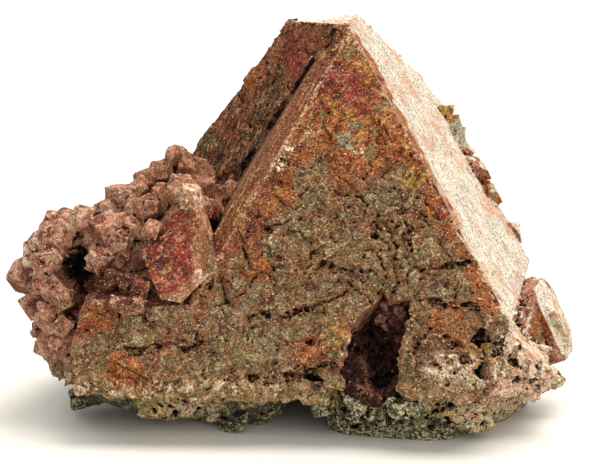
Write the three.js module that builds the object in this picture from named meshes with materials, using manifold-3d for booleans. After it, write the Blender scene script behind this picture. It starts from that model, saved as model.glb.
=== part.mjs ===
// A red spinel specimen: two large octahedra that grew side by side, clusters of small crystals at
// their feet, and the grey-green rock that they grew on. Millimetres, +Z up, seen from -Y.
import * as THREE from "three";
import { ConvexGeometry } from "three/addons/geometries/ConvexGeometry.js";
import { MeshSurfaceSampler } from "three/addons/math/MeshSurfaceSampler.js";
import { mergeVertices } from "three/addons/utils/BufferGeometryUtils.js";
import Module from "manifold-3d";

const wasm = await Module();
wasm.setup();

// Driving dimensions
// A flat face is given by the turn of its normal from -Y towards +X, the normal's lean above level,
// both in degrees, and its reach, the distance of the face from the origin.
const FRONT = { turn: -5, lean: 32, reach: 23.34 };
const RIGHT = { turn: 76, lean: 35.75, reach: 39.8 };
const TOP = { turn: -61, lean: 81, reach: 58.44 };
const LEFT = { turn: -90, lean: 32.1, reach: 27.1 };
const LEFT_EDGE_STRIP = { turn: -47.5, lean: 40.3, reach: 29.3 };
const BACK_UPPER = { turn: 172, lean: 46, reach: 58.3 };
const BACK_STEEP = { turn: 165, lean: 24, reach: 51.2 };
const BACK_LOWER = { turn: 175, lean: -32, reach: 3.9 };
const RIGHT_LOWER = { turn: 80, lean: -15, reach: 29 };
const REAR_FRONT = { turn: -48, lean: 25, reach: 14.84 };
const REAR_LEFT = { turn: -120, lean: 34.15, reach: 43.44 };
const REAR_BACK = { turn: 172, lean: 46, reach: 56.9 };
const REAR_INSET = 0.9; // how far the rear crystal's shared faces lie behind the main crystal's
const BELOW = { turn: 0, lean: -90, reach: 4 };

// The seat is the rough surface between the crystals and the rock. It climbs towards the back.
const SEAT_FRONT_HEIGHT = 8.6;
const SEAT_CLIMB = 0.52;
const SEAT_CLIMB_START = -13;
const SEAT_WAVE = 1.1;
const SEAT_RIGHT_DROP = 5.5;
const SEAT_LEFT_DROP = 9;
const SEAT_ARCH_RISE = 2.6;
const SEAT_STEP = 8;
const SEAT_HALF_WIDTH = 62;
const SEAT_DEPTH = 20;
const GAP = 0.3;

// The hollow in the front face and the outside of the crust that lines it, as (across, up) on that face
const HOLLOW_OUTLINE = [
  [9.3, 6.0], [10.9, 8.6], [12.8, 10.0], [14.0, 12.1], [15.0, 10.5], [16.7, 10.6],
  [19.7, 11.8], [18.2, 10.2], [18.6, 7.7], [17.2, 4.2], [16.8, 1.0], [17.0, -2.2],
  [16.3, -4.5], [12.6, -5.2], [8.8, -4.4], [7.7, -0.8], [8.9, 3.2],
];
const LINING_OUTLINE = [
  [9.7, 5.9], [11.2, 8.3], [13.0, 9.6], [14.1, 10.4], [14.9, 10.0], [16.6, 10.0], [17.9, 9.4],
  [18.1, 7.6], [16.8, 4.3], [16.4, 1.0], [16.6, -2.0], [15.9, -4.1], [12.6, -4.8], [9.1, -4.0],
  [8.1, -0.8], [9.3, 3.2],
];
const HOLLOW_DEPTH = 11;
const HOLLOW_MOUTH = 6; // how far the cut runs out in front of the face
const HOLLOW_OPENING = [4.6, 10, 8]; // half sizes of the open space inside the crust
const CRUST_SETBACK = 2.2; // how far the crust starts behind the face

// Cracks: how far a cut starts above the face, and how far each stretch runs into the next
const CRACK_START = 0.5;
const CRACK_OVERRUN = 0.3;
const PORE_DEPTH = 1.8;
const PLATE_ROOT = 1;
const ROOTED = 0.15; // how far a small piece's middle stands proud, as a share of its radius

// Small helpers
function seeded(seed) {
  let state = seed;
  return () => {
    state = (Math.imul(state, 1664525) + 1013904223) >>> 0;
    return state / 4294967296;
  };
}

function direction(turn, lean) {
  const t = THREE.MathUtils.degToRad(turn);
  const l = THREE.MathUtils.degToRad(lean);
  return new THREE.Vector3(Math.sin(t) * Math.cos(l), -Math.cos(t) * Math.cos(l), Math.sin(l));
}

function randomDirection(random) {
  return direction(360 * random(), THREE.MathUtils.radToDeg(Math.asin(2 * random() - 1)));
}

function plane({ turn, lean, reach }) {
  return new THREE.Plane(direction(turn, lean), -reach);
}

const vectors = (points) => points.map((p) => new THREE.Vector3(...p));

// The corners of a crystal are the points where three of its faces meet and no other face cuts them off.
function cornersOf(planes) {
  const corners = [];
  planes.forEach((a, i) => {
    planes.slice(i + 1).forEach((b, j) => {
      planes.slice(i + j + 2).forEach((c) => {
        const bc = new THREE.Vector3().crossVectors(b.normal, c.normal);
        const volume = a.normal.dot(bc);
        if (Math.abs(volume) < 1e-6) return;
        const corner = bc.multiplyScalar(-a.constant);
        corner.addScaledVector(new THREE.Vector3().crossVectors(c.normal, a.normal), -b.constant);
        corner.addScaledVector(new THREE.Vector3().crossVectors(a.normal, b.normal), -c.constant);
        corner.divideScalar(volume);
        if (planes.every((p) => p.distanceToPoint(corner) < 1e-5)) corners.push(corner);
      });
    });
  });
  return corners;
}

// Solids
function solid(geometry) {
  const bare = geometry.clone();
  bare.deleteAttribute("normal");
  bare.deleteAttribute("uv");
  const merged = mergeVertices(bare, 1e-4);
  return new wasm.Manifold(
    new wasm.Mesh({
      numProp: 3,
      vertProperties: merged.attributes.position.array,
      triVerts: new Uint32Array(merged.index.array),
    }),
  );
}

function geometryOf(manifold) {
  const mesh = manifold.getMesh();
  const geometry = new THREE.BufferGeometry();
  geometry.setAttribute("position", new THREE.BufferAttribute(mesh.vertProperties, 3));
  geometry.setIndex(new THREE.BufferAttribute(mesh.triVerts, 1));
  return geometry;
}

const joined = (solids) => solids.reduce((whole, next) => whole.add(next));
const hull = (points) => solid(new ConvexGeometry(vectors(points)));
const faceted = (...faces) => solid(new ConvexGeometry(cornersOf(faces.map(plane))));

// A small crystal: a cube with three of its corners cut off, whose faces grew at slightly unlike rates.
const CUBE_FACES = [[1, 0, 0], [-1, 0, 0], [0, 1, 0], [0, -1, 0], [0, 0, 1], [0, 0, -1]];
const CORNER_FACES = [[1, 1, 1], [-1, -1, 1], [1, -1, -1]];

function smallCrystal([x, y, z], radius, random) {
  const turn = new THREE.Quaternion().setFromEuler(
    new THREE.Euler(Math.PI * random(), Math.PI * random(), Math.PI * random()),
  );
  const centre = new THREE.Vector3(x, y, z);
  const grow = (faces, least) => vectors(faces).map((face) => {
    const normal = face.normalize().applyQuaternion(turn);
    const reach = radius * (least + 0.22 * random());
    return new THREE.Plane(normal, -reach - normal.dot(centre));
  });
  return solid(new ConvexGeometry(cornersOf([...grow(CUBE_FACES, 0.64), ...grow(CORNER_FACES, 0.68)])));
}

// A broken block: the hull of random points on a ball, stretched to its size.
function block([x, y, z], [sx, sy, sz], random, count = 13) {
  const stretch = new THREE.Vector3(sx, sy, sz);
  const centre = new THREE.Vector3(x, y, z);
  const corners = Array.from({ length: count }, () =>
    randomDirection(random).multiply(stretch).add(centre));
  return solid(new ConvexGeometry(corners));
}

// Small pieces spread over a body, where keep says so, each rooted in the surface.
function spread(piece, body, count, [least, most], seed, keep) {
  const random = seeded(seed);
  const sampler = new MeshSurfaceSampler(new THREE.Mesh(geometryOf(body)));
  sampler.setRandomGenerator(random).build();
  const spot = new THREE.Vector3();
  const outward = new THREE.Vector3();
  const pieces = [];
  while (pieces.length < count) {
    sampler.sample(spot, outward);
    if (keep(spot, outward)) {
      const radius = least + (most - least) * random() ** 1.6;
      spot.addScaledVector(outward, ROOTED * radius);
      pieces.push(piece(spot.toArray(), radius, random));
    }
  }
  return pieces;
}

const chip = (centre, radius, random) =>
  block(centre, [radius * (1 + random()), radius * (1 + random()), radius], random, 9);

// A place on the front face: across to the right, up the slope, out towards the viewer.
const frontNormal = direction(FRONT.turn, FRONT.lean);
const frontAcross = new THREE.Vector3(0, 0, 1).cross(frontNormal).normalize();
const frontUp = new THREE.Vector3().crossVectors(frontNormal, frontAcross);
const frontFrame = new THREE.Matrix4()
  .makeBasis(frontAcross, frontUp, frontNormal)
  .setPosition(frontNormal.clone().multiplyScalar(FRONT.reach));
const onFront = (across, up, out) =>
  new THREE.Vector3(across, up, out).applyMatrix4(frontFrame).toArray();

// A crack is a thin wedge that follows a broken line on the front face.
function crack(line, width, depth) {
  return joined(
    line.slice(1).map(([x2, y2], i) => {
      const [x1, y1] = line[i];
      const length = Math.hypot(x2 - x1, y2 - y1);
      const along = [(x2 - x1) / length, (y2 - y1) / length];
      const side = [(-along[1] * width) / 2, (along[0] * width) / 2];
      const start = [x1 - CRACK_OVERRUN * along[0], y1 - CRACK_OVERRUN * along[1]];
      const end = [x2 + CRACK_OVERRUN * along[0], y2 + CRACK_OVERRUN * along[1]];
      return hull([start, end].flatMap(([across, up]) => [
        onFront(across + side[0], up + side[1], CRACK_START),
        onFront(across - side[0], up - side[1], CRACK_START),
        onFront(across, up, -depth),
      ]));
    }),
  );
}

// The seat, as everything below it
const smoothstep = THREE.MathUtils.smoothstep;

function seatHeight(x, y) {
  const climb = SEAT_CLIMB * Math.max(0, y - SEAT_CLIMB_START);
  const wave = SEAT_WAVE * Math.sin(x / 6 + 1) * Math.cos(y / 8 - 0.6);
  const arch = SEAT_ARCH_RISE * Math.exp(-(((x - 1) / 6) ** 2));
  const rightEnd = SEAT_RIGHT_DROP * smoothstep(x, 26, 38);
  const leftEnd = SEAT_LEFT_DROP * smoothstep(-x, 27, 38) * smoothstep(y, -14, -5);
  return SEAT_FRONT_HEIGHT + climb + wave + arch - rightEnd - leftEnd;
}

function belowSeat(drop) {
  const cells = Math.round((2 * SEAT_HALF_WIDTH) / SEAT_STEP);
  const ground = new THREE.BoxGeometry(
    2 * SEAT_HALF_WIDTH, 2 * SEAT_HALF_WIDTH, 2 * SEAT_DEPTH, cells, cells, 1,
  );
  const position = ground.attributes.position;
  for (let i = 0; i < position.count; i += 1) {
    if (position.getZ(i) > 0) {
      position.setZ(i, seatHeight(position.getX(i), position.getY(i)) - drop);
    }
  }
  return solid(ground);
}

// The main crystal: a large octahedron with a flat top and a narrow strip along its left edge
function mainCrystal() {
  return faceted(
    FRONT, RIGHT, TOP, LEFT, LEFT_EDGE_STRIP, BACK_UPPER, BACK_STEEP, BACK_LOWER, RIGHT_LOWER, BELOW,
  );
}

// The second large crystal stands behind and to the left, turned a little, with a groove between them.
function rearCrystal() {
  const shared = [FRONT, BACK_STEEP, BACK_LOWER].map((f) => ({ ...f, reach: f.reach - REAR_INSET }));
  return faceted(REAR_FRONT, ...shared, RIGHT, TOP, REAR_LEFT, REAR_BACK, RIGHT_LOWER, BELOW);
}

// The deep red crystal that stands out at the left of the front face, with its broken lower side
function windowCrystal() {
  return hull([
    [-13.0, -12.4, 25.8], [-18.3, -15.0, 20.7], [-21.6, -14.5, 21.2], [-24.8, -9.5, 27.5],
    [-17.6, -4.0, 37.6], [-15.7, -4.0, 36.4], [-15.4, -10.6, 31.6], [-12.5, -6.0, 25.0],
    [-18.0, -6.0, 19.5], [-24.5, -4.0, 26.0], [-17.5, 2.5, 38.0],
  ]);
}

// The low crystal at the left foot, whose front lies in one plane with the main front face
function lowerLeftCrystal() {
  return hull([
    [-34.9, -14.9, 15.2], [-33.6, -11.6, 19.9], [-30.6, -12.3, 20.2], [-17.0, -13.9, 19.5],
    [-34.4, -19.0, 9.0], [-33.6, -26.0, -2.0], [-10.0, -28.0, -2.0], [-8.0, -19.0, 12.4],
    [-35.5, -8.0, -2.0], [-10.0, -2.0, -2.0], [-33.0, -4.0, 21.1], [-26.2, -3.0, 24.4],
    [-14.0, -4.0, 24.4],
  ]);
}

// The heap of small crystals at the left
const HEAP_CORE = [
  [-16, 12, 38], [-19, 6, 39], [-25, 5, 36], [-31, 3, 31.5], [-37, 2, 29.5], [-42.5, 1, 24.5],
  [-44.6, 1, 19], [-42.8, 1, 14], [-40.2, 1, 9], [-36.5, 2, 3.5], [-16, -2, 33], [-24, -4, 30],
  [-32, -6, 26], [-37.5, -6.5, 20], [-38, -7, 14], [-35, -9, 8], [-30, -8, 3], [-20, 0, 3],
  [-41, 13, 20], [-37, 20, 12], [-30, 24, 22], [-20, 26, 30], [-12, 26, 34],
];
const HEAP_CRYSTALS = [
  [-19.4, 5.0, 39.6, 2.2], [-22.1, 4.0, 37.8, 2.1], [-24.4, 4.0, 36.7, 2.3], [-26.3, 2.0, 35.0, 2.2],
  [-28.6, 2.0, 33.6, 2.1], [-26.6, 0.0, 32.6, 1.9], [-31.2, 1.0, 31.6, 1.9], [-27.8, -3.0, 30.9, 2.0],
  [-30.6, -3.4, 29.2, 2.0], [-34.5, -1.0, 30.2, 1.9], [-37.2, -1.6, 29.4, 1.9], [-39.9, -2.4, 27.9, 2.3],
  [-42.6, -2.0, 24.6, 2.2], [-44.3, -1.0, 21.2, 2.5], [-39.6, -6.2, 25.2, 2.2], [-40.4, -6.0, 22.2, 2.4],
  [-37.2, -8.4, 20.0, 2.6], [-42.4, -3.0, 17.2, 2.4], [-39.2, -7.6, 16.8, 2.6], [-37.2, -9.6, 13.6, 2.2],
  [-40.3, -4.6, 11.4, 2.4], [-38.0, -6.4, 8.2, 2.3], [-35.2, -11.6, 9.2, 2.1], [-31.9, -8.0, 25.6, 2.0],
  [-28.5, -5.6, 28.2, 2.1], [-25.9, -4.6, 30.3, 2.0], [-19.2, -3.8, 36.4, 1.9], [-23.6, -3.0, 33.6, 2.4],
  [-21.0, -3.0, 35.4, 2.1], [-29.9, -8.6, 23.1, 2.1], [-27.1, -9.6, 22.3, 2.0], [-24.8, -11.0, 22.3, 1.8],
  [-17.6, 1.5, 39.4, 1.9], [-14.6, 2.0, 31.6, 1.9], [-13.2, 4.4, 34.4, 1.6], [-11.4, 7.6, 34.0, 1.8],
  [-37.2, -3.4, 5.6, 2.2], [-35.8, -6.0, 4.8, 2.1], [-40.6, -1.6, 12.0, 2.4], [-38.9, -1.2, 8.2, 2.4],
];
const HEAP_HOLES = [
  [[-36.0, -8.5, 24.6], [2.9, 5.2, 2.6]],
  [[-35.4, -13.0, 11.6], [1.3, 3.6, 1.2]],
  [[-31.9, -15.5, 13.2], [1.2, 3.0, 0.9]],
];

function leftHeap() {
  const isBehind = (p) => p.y > 1 && p.x > -39 && p.z > 4 && p.z < 34;
  const isInFront = (p) => p.y < 1 && p.x < -21 && p.z > 5;
  const core = hull(HEAP_CORE);
  const random = seeded(11);
  const shown = HEAP_CRYSTALS.map(([x, y, z, radius]) => smallCrystal([x, y, z], radius, random));
  const behind = spread(smallCrystal, core, 20, [2.0, 3.9], 23, isBehind);
  const among = spread(smallCrystal, core, 12, [1.2, 2.0], 37, isInFront);
  return joined([core, ...shown, ...behind, ...among]);
}

// The crumbly mass below the right face: lumps and small crystals down to the floor
function rightMass() {
  const random = seeded(5);
  const core = joined([
    block([35.0, 2, 11], [8.4, 11, 8.8], random, 22),
    block([33.5, -8.5, 9.5], [6.4, 8.4, 8.2], random, 20),
    block([27, -13.5, 9], [6.8, 6.6, 6.8], random, 18),
    hull([
      [38.8, 8, 19.6], [42.6, 10, 15], [44.7, 9, 11.0], [44.6, 7, 7.5], [38.2, -1, 18.0],
      [41.6, -2.5, 12.2], [42.6, -1, 8.0], [37.5, 4, 6.0], [34, 8, 18], [36, 15, 14],
    ]),
  ]);
  const isShown = (p) => p.x > 27 && p.z > 2.5 && p.z < 17;
  const small = spread(smallCrystal, core, 24, [1.3, 2.3], 51, isShown);
  return joined([core, ...small]);
}

// The block with many pores between the hollow and the ridge
function porousBlock() {
  return hull([
    onFront(17.4, -4.4, 0.4), onFront(17.6, 9.0, 0.5), onFront(21.5, 10.5, 0.6), onFront(32.4, 9.2, 0.2),
    onFront(33.8, 4.0, -1.2), onFront(30.0, -3.0, 0.3), onFront(23.0, -4.6, 0.9),
    onFront(17.6, -4.4, -8), onFront(17.6, 9, -8), onFront(32, 9, -8), onFront(30, -3, -8),
  ]);
}

const PORES = [
  [18.7, 3.4, 0.6], [20.1, 3.4, 0.55], [24.5, 3.9, 0.9], [23.7, 1.9, 0.6], [28.3, 4.2, 1.2],
  [30.6, 1.6, 1.3], [21.4, 5.9, 0.5], [22.9, 6.3, 0.5], [26.0, 1.8, 0.7], [22.3, 0.2, 0.7],
  [26.5, 6.5, 0.5], [29.6, 7.0, 0.6], [20.0, 0.6, 0.5], [25.0, -1.0, 0.6], [28.0, -0.6, 0.8],
];

// Thin plates left by the last growth layers, as outlines on the front face and how far they rise
const GROWTH_PLATES = [
  { rise: 0.4, outline: [[-9, 22], [-3, 34], [6, 30], [9, 20], [2, 14], [-6, 15]] },
  { rise: 0.3, outline: [[6, 40], [12, 42], [15.5, 34], [10, 28], [4, 33]] },
  { rise: 0.5, outline: [[-28, 0], [-26, 8], [-16, 9], [-8, 5], [-10, -2], [-20, -3.6]] },
  { rise: 0.45, outline: [[19, 16], [28, 17.5], [23.5, 24], [17, 20]] },
];

function growthPlates() {
  return GROWTH_PLATES.map(({ rise, outline }) => hull([
    ...outline.map(([across, up]) => onFront(across, up, -PLATE_ROOT)),
    ...outline.map(([across, up]) => onFront(across, up, rise)),
  ]));
}

const CRACKS = [
  { line: [[-1.7, 7.3], [1.3, 8.6], [5.1, 9.8]], width: 0.7, depth: 1.0 },
  { line: [[19.6, 15.3], [24.2, 15.9], [28.8, 17.0]], width: 0.6, depth: 0.9 },
  { line: [[19.6, 32.5], [17.7, 28.7], [16.2, 25.3]], width: 0.8, depth: 1.4 },
  { line: [[19.3, 27.1], [17.1, 22.9], [18.3, 17.9], [20.5, 12.3]], width: 0.5, depth: 0.8 },
  { line: [[13.2, 21.1], [15.7, 16.7], [14.3, 12.1]], width: 0.5, depth: 0.8 },
  { line: [[24.0, 24.7], [22.6, 19.7], [25.0, 16.4]], width: 0.5, depth: 0.8 },
];

// Small crystals and crumbs along the far edge of the right face and over the back
const BACK_EDGE_CRYSTALS = [
  [25.2, 27.0, 43.6, 1.8], [26.0, 26.0, 41.6, 2.1], [26.9, 25.0, 39.7, 2.1], [27.8, 23.5, 37.6, 2.0],
  [28.4, 22.0, 35.8, 2.0], [28.8, 21.0, 33.9, 1.9], [29.5, 20.0, 32.0, 1.8], [30.1, 19.0, 30.1, 1.7],
  [23.6, 29.5, 40.5, 3.0], [25.5, 25.5, 35.5, 3.0], [26.5, 22.0, 29.0, 3.0],
];

function backCrystals(body) {
  const random = seeded(91);
  const edge = BACK_EDGE_CRYSTALS.map(([x, y, z, radius]) => smallCrystal([x, y, z], radius, random));
  const isBack = (p, outward) => outward.y > 0.1 && p.z > 16 && p.z < 44;
  const low = spread(smallCrystal, body, 14, [2.2, 4.2], 97, isBack);
  return joined([...edge, ...low]);
}

// The hollow, and the crust of small crystals that lines it
function hollowShape(outline, depth) {
  const shape = new THREE.Shape(outline.map(([across, up]) => new THREE.Vector2(across, up)));
  const cut = new THREE.ExtrudeGeometry(shape, { depth: depth + HOLLOW_MOUTH, bevelEnabled: false });
  return solid(cut.translate(0, 0, -depth).applyMatrix4(frontFrame));
}

function hollowCrust() {
  const aboveRim = new THREE.BoxGeometry(40, 40, 10);
  aboveRim.translate(0, 0, 5 - CRUST_SETBACK).applyMatrix4(frontFrame);
  const lining = hollowShape(LINING_OUTLINE, HOLLOW_DEPTH - GAP).subtract(solid(aboveRim));
  const opening = block(onFront(13.2, 2.4, 0), HOLLOW_OPENING, seeded(131), 30);
  const lined = lining.subtract(opening);
  const grains = spread(smallCrystal, lined, 12, [1.1, 1.8], 133, () => true);
  return joined([lined, ...grains]).intersect(lining);
}

// The rock: two feet in front with an arch between them, and a high mass behind
const LEFT_FOOT = [
  [-35.5, -16.5, 9.5], [-22, -20.6, 9.5], [-8, -21.2, 9.5], [1, -18.5, 10.5], [-33.5, -8, 3.4],
  [-27.5, -11, 2.4], [-24, -9.5, 0.8], [-17.5, -8.6, 0], [-9.5, -10.8, 0], [-6, -11.6, 0], [-3.4, -8.6, 0.8],
  [-36, 4, 10], [-32, 8, 3], [-20, 16, 0], [-2, 8, 0], [-20, 18, 24], [4, 0, 18],
];
const RIGHT_FOOT = [
  [4.4, -19.4, 10], [14, -21.6, 10], [24, -20.4, 10], [31, -17.5, 9], [36.5, -11, 7], [4.6, -14, 0],
  [7, -16.6, 0], [12.4, -18.2, 0], [20, -19.7, 0], [23, -19.2, 0], [25, -16.6, 0], [28, -12.8, 0],
  [32.6, -9, 0], [36.8, -1, 0], [38.2, 6, 0], [30, 20, 0], [5, 10, 0], [3, 4, 16], [34, 16, 18],
];
const ROCK_BLOCKS = [
  [[4, 16, 14], [25, 18, 22], 40],
  [[-19, 13, 11], [17, 16, 16], 26],
  [[23, 12, 13], [15, 15, 16], 26],
  [[-8, 27, 19], [10, 8, 11], 18],
  [[11, 28, 13], [9, 8, 13], 18],
  [[24, 22, 19], [9, 8, 12], 18],
  [[9.5, -17.0, 6.4], [7.0, 5.0, 5.0], 14],
  [[20.5, -16.0, 4.5], [8.0, 5.0, 6.0], 14],
  [[-10, -12, 5.6], [8.5, 5.6, 5.4], 14],
  [[-22, -13.0, 6.4], [8.0, 5.8, 5.0], 14],
];
const ROCK_HOLLOWS = [
  [[0.5, -17, -0.5], [3.6, 15, 5.2], 121],
  [[10.5, -21.0, 2.6], [1.8, 3.2, 1.6], 122],
  [[15.5, -21.8, 5.4], [1.6, 3.0, 1.3], 123],
];

function rock() {
  const random = seeded(105);
  const blocks = ROCK_BLOCKS.map(([centre, size, count]) => block(centre, size, random, count));
  const core = joined([hull(LEFT_FOOT), hull(RIGHT_FOOT), ...blocks]);
  const chips = spread(chip, core, 38, [1.6, 4.2], 107, (p) => p.z > 1.5 && p.z < 34);
  return joined([core, ...chips]);
}

// Assembly
const floorBlock = new THREE.BoxGeometry(2 * SEAT_HALF_WIDTH, 2 * SEAT_HALF_WIDTH, SEAT_DEPTH);
const belowFloor = solid(floorBlock.translate(0, 0, -SEAT_DEPTH / 2));
const hollow = hollowShape(HOLLOW_OUTLINE, HOLLOW_DEPTH);

function spinelCrystals() {
  const seat = belowSeat(0);
  const large = joined([mainCrystal(), rearCrystal()]);
  const grown = joined([
    large, windowCrystal(), lowerLeftCrystal(), leftHeap(), rightMass(), porousBlock(), ...growthPlates(),
    backCrystals(large.subtract(seat)),
  ]);
  const cuts = [
    seat,
    belowFloor,
    hollow,
    ...HEAP_HOLES.map(([centre, size], i) => block(centre, size, seeded(60 + i), 16)),
    ...PORES.map(([across, up, radius], i) =>
      block(onFront(across, up, 0.4), [radius, PORE_DEPTH, radius], seeded(140 + i), 10)),
    ...CRACKS.map(({ line, width, depth }) => crack(line, width, depth)),
  ];
  return cuts.reduce((left, cut) => left.subtract(cut), grown);
}

function matrixRock() {
  const seated = rock().intersect(belowSeat(GAP));
  const cuts = [
    belowFloor,
    hollow,
    ...ROCK_HOLLOWS.map(([centre, size, seed]) => block(centre, size, seeded(seed), 16)),
  ];
  return cuts.reduce((left, cut) => left.subtract(cut), seated);
}

// A cut can leave a loose sliver, so only the largest body is kept.
function largestBody(manifold) {
  return manifold.decompose().reduce((best, body) => (body.volume() > best.volume() ? body : best));
}

const NODES = [
  ["spinel_crystals", spinelCrystals(), { color: 0x9a5a3c, roughness: 0.6, metalness: 0 }],
  ["matrix_rock", matrixRock(), { color: 0x5f6049, roughness: 0.9, metalness: 0 }],
  ["cavity_crust", hollowCrust(), { color: 0x6b3428, roughness: 0.8, metalness: 0 }],
];

const specimen = new THREE.Group();
for (const [name, manifold, look] of NODES) {
  const mesh = new THREE.Mesh(geometryOf(largestBody(manifold)), new THREE.MeshStandardMaterial(look));
  mesh.name = name;
  specimen.add(mesh);
}

// The part's origin is the middle of its footprint's box, on the surface that it stands on.
const extent = new THREE.Box3().setFromObject(specimen);
const middle = extent.getCenter(new THREE.Vector3());
specimen.position.set(-middle.x, -middle.y, -extent.min.z);

export default specimen;
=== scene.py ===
# %% [markdown]
# # A spinel specimen
#
# Spinel grows as octahedra, two pyramids base to base. This specimen shows the upper half of a large one, a
# second one close behind it, and hundreds of small ones heaped beside them, all grown on grey-green rock.
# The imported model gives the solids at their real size, with flat and clean faces. A real specimen has lain
# in the ground: its faces carry a gritty film, rust and dirt, and only here and there does the red crystal
# show. This lesson gives the solids that surface, first as real relief in the mesh and then as procedural
# materials.

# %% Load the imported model
import math
import random

import bpy
import numpy as np
from mathutils import Euler, Matrix, Vector


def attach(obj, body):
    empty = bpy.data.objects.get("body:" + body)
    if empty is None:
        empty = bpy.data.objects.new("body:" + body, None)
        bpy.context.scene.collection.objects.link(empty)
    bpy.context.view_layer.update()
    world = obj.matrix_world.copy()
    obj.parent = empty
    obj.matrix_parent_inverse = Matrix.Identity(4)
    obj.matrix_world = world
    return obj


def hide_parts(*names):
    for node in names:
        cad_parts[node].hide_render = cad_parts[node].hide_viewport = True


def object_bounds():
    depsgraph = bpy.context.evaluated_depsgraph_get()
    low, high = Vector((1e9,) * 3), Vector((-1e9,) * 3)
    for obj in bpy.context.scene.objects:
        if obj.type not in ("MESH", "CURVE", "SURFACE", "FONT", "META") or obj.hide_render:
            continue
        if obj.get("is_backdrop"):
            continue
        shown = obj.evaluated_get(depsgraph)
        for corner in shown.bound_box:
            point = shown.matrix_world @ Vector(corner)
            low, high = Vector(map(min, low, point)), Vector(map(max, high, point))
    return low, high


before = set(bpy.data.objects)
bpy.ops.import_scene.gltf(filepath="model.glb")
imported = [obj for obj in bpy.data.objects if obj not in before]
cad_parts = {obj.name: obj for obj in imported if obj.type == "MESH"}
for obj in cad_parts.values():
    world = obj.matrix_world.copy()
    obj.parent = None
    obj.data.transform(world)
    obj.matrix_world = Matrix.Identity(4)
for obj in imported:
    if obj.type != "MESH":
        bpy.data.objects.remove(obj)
cad_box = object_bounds()
MM = 0.001
print("the solids:", ", ".join(sorted(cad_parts)))

# %% [markdown]
# ## Camera and light
#
# The camera comes first, so that every step can be judged in the same view. The specimen is seen from a
# little above, through a long lens that keeps the tall crystal's edges straight. A soft light stands at the
# upper right and a wider one high behind, so the right face is bright, the front lies in half shade and the
# shadow falls towards the viewer. A fill from the front keeps the colours of the front face readable.

# %% Camera
AIM = (1.4 * MM, -6.0 * MM, 28.7 * MM)
DISTANCE = 321 * MM
RISE = math.radians(12)
LENS = 120  # long side of the picture on 36 mm of film

back = Vector((0, -math.cos(RISE), math.sin(RISE)))
camera = bpy.data.objects.new("camera", bpy.data.cameras.new("camera"))
bpy.context.scene.collection.objects.link(camera)
camera.location = Vector(AIM) + DISTANCE * back
camera.rotation_euler = (-back).to_track_quat("-Z", "Y").to_euler()
camera.data.lens = LENS
camera.data.sensor_width = 36
camera.data.clip_start = 0.01
bpy.context.scene.camera = camera
bpy.context.scene.view_settings.view_transform = "Standard"
print("camera at", [round(c / MM) for c in camera.location], "mm")

# %% Light
WARM_WHITE = (1.0, 0.98, 0.95)
PALE_WHITE = (1.0, 0.99, 0.97)
WORLD_STRENGTH = 0.36
LAMPS = [
    # name, direction of the light's source, strength, width in degrees, tint
    ("window", (0.38, 0.29, 0.87), 3.5, 46, WARM_WHITE),
    ("overhead", (-0.12, 0.66, 0.78), 3.0, 84, PALE_WHITE),
    ("fill", (0.36, -0.83, 0.46), 2.3, 80, PALE_WHITE),
]
for name, towards, strength, width, tint in LAMPS:
    lamp = bpy.data.objects.new(name, bpy.data.lights.new(name, "SUN"))
    bpy.context.scene.collection.objects.link(lamp)
    lamp.rotation_euler = Vector(towards).to_track_quat("Z", "Y").to_euler()
    lamp.data.energy = strength
    lamp.data.angle = math.radians(width)
    lamp.data.color = tint
world = bpy.data.worlds.new("studio")
bpy.context.scene.world = world
world.use_nodes = True
sky = world.node_tree.nodes["Background"].inputs
sky["Color"].default_value = (*WARM_WHITE, 1)
sky["Strength"].default_value = WORLD_STRENGTH
print("lamps:", ", ".join(lamp[0] for lamp in LAMPS))

# %% [markdown]
# ## Small tools
#
# Selection, modifiers and textures each take a few lines, so each gets one helper. Masks are numbers from
# nought to one for every vertex. A vertex group guides a modifier and an attribute guides a material. A
# displacement reads its texture in an empty's coordinates. An empty one millimetre in size lets every
# pattern be given in millimetres, and a turned and stretched one makes streaks.

# %% Helpers for pieces


def select_only(*pieces):
    bpy.ops.object.select_all(action="DESELECT")
    for piece in pieces:
        piece.select_set(True)
    bpy.context.view_layer.objects.active = pieces[0]


def linked(name, mesh):
    piece = bpy.data.objects.new(name, mesh)
    bpy.context.scene.collection.objects.link(piece)
    return piece


def merged_copy(node, name):
    """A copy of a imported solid, with the corners of its triangles joined up."""
    piece = linked(name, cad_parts[node].data.copy())
    piece.data.name = name
    piece.data.materials.clear()
    select_only(piece)
    bpy.ops.object.mode_set(mode="EDIT")
    bpy.ops.mesh.select_all(action="SELECT")
    bpy.ops.mesh.remove_doubles(threshold=0.001 * MM)
    bpy.ops.object.mode_set(mode="OBJECT")
    return piece


def modify(piece, kind, **settings):
    select_only(piece)
    change = piece.modifiers.new(kind.lower(), kind)
    for key, value in settings.items():
        setattr(change, key, value)
    bpy.ops.object.modifier_apply(modifier=change.name)


def places(piece):
    """Where every vertex lies, in millimetres."""
    spots = np.empty(len(piece.data.vertices) * 3, np.float32)
    piece.data.vertices.foreach_get("co", spots)
    return spots.reshape(-1, 3) / MM


def normals(piece):
    outward = np.empty(len(piece.data.vertices) * 3, np.float32)
    piece.data.vertex_normals.foreach_get("vector", outward)
    return outward.reshape(-1, 3)


def triangles(piece):
    return sum(len(face.vertices) - 2 for face in piece.data.polygons)


def keep_inside(piece):
    """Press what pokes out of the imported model's box back to it, so that the size stays the measured one."""
    low, high = (np.array(corner) / MM for corner in cad_box)
    hair = 0.01
    spots = np.clip(places(piece), low + hair, high - hair) * MM
    piece.data.vertices.foreach_set("co", spots.astype(np.float32).ravel())
    piece.data.update()


# %% Helpers for masks
def smooth(value, low, high):
    share = np.clip((value - low) / (high - low), 0, 1)
    return share * share * (3 - 2 * share)


WEIGHT_STEPS = 20


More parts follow.
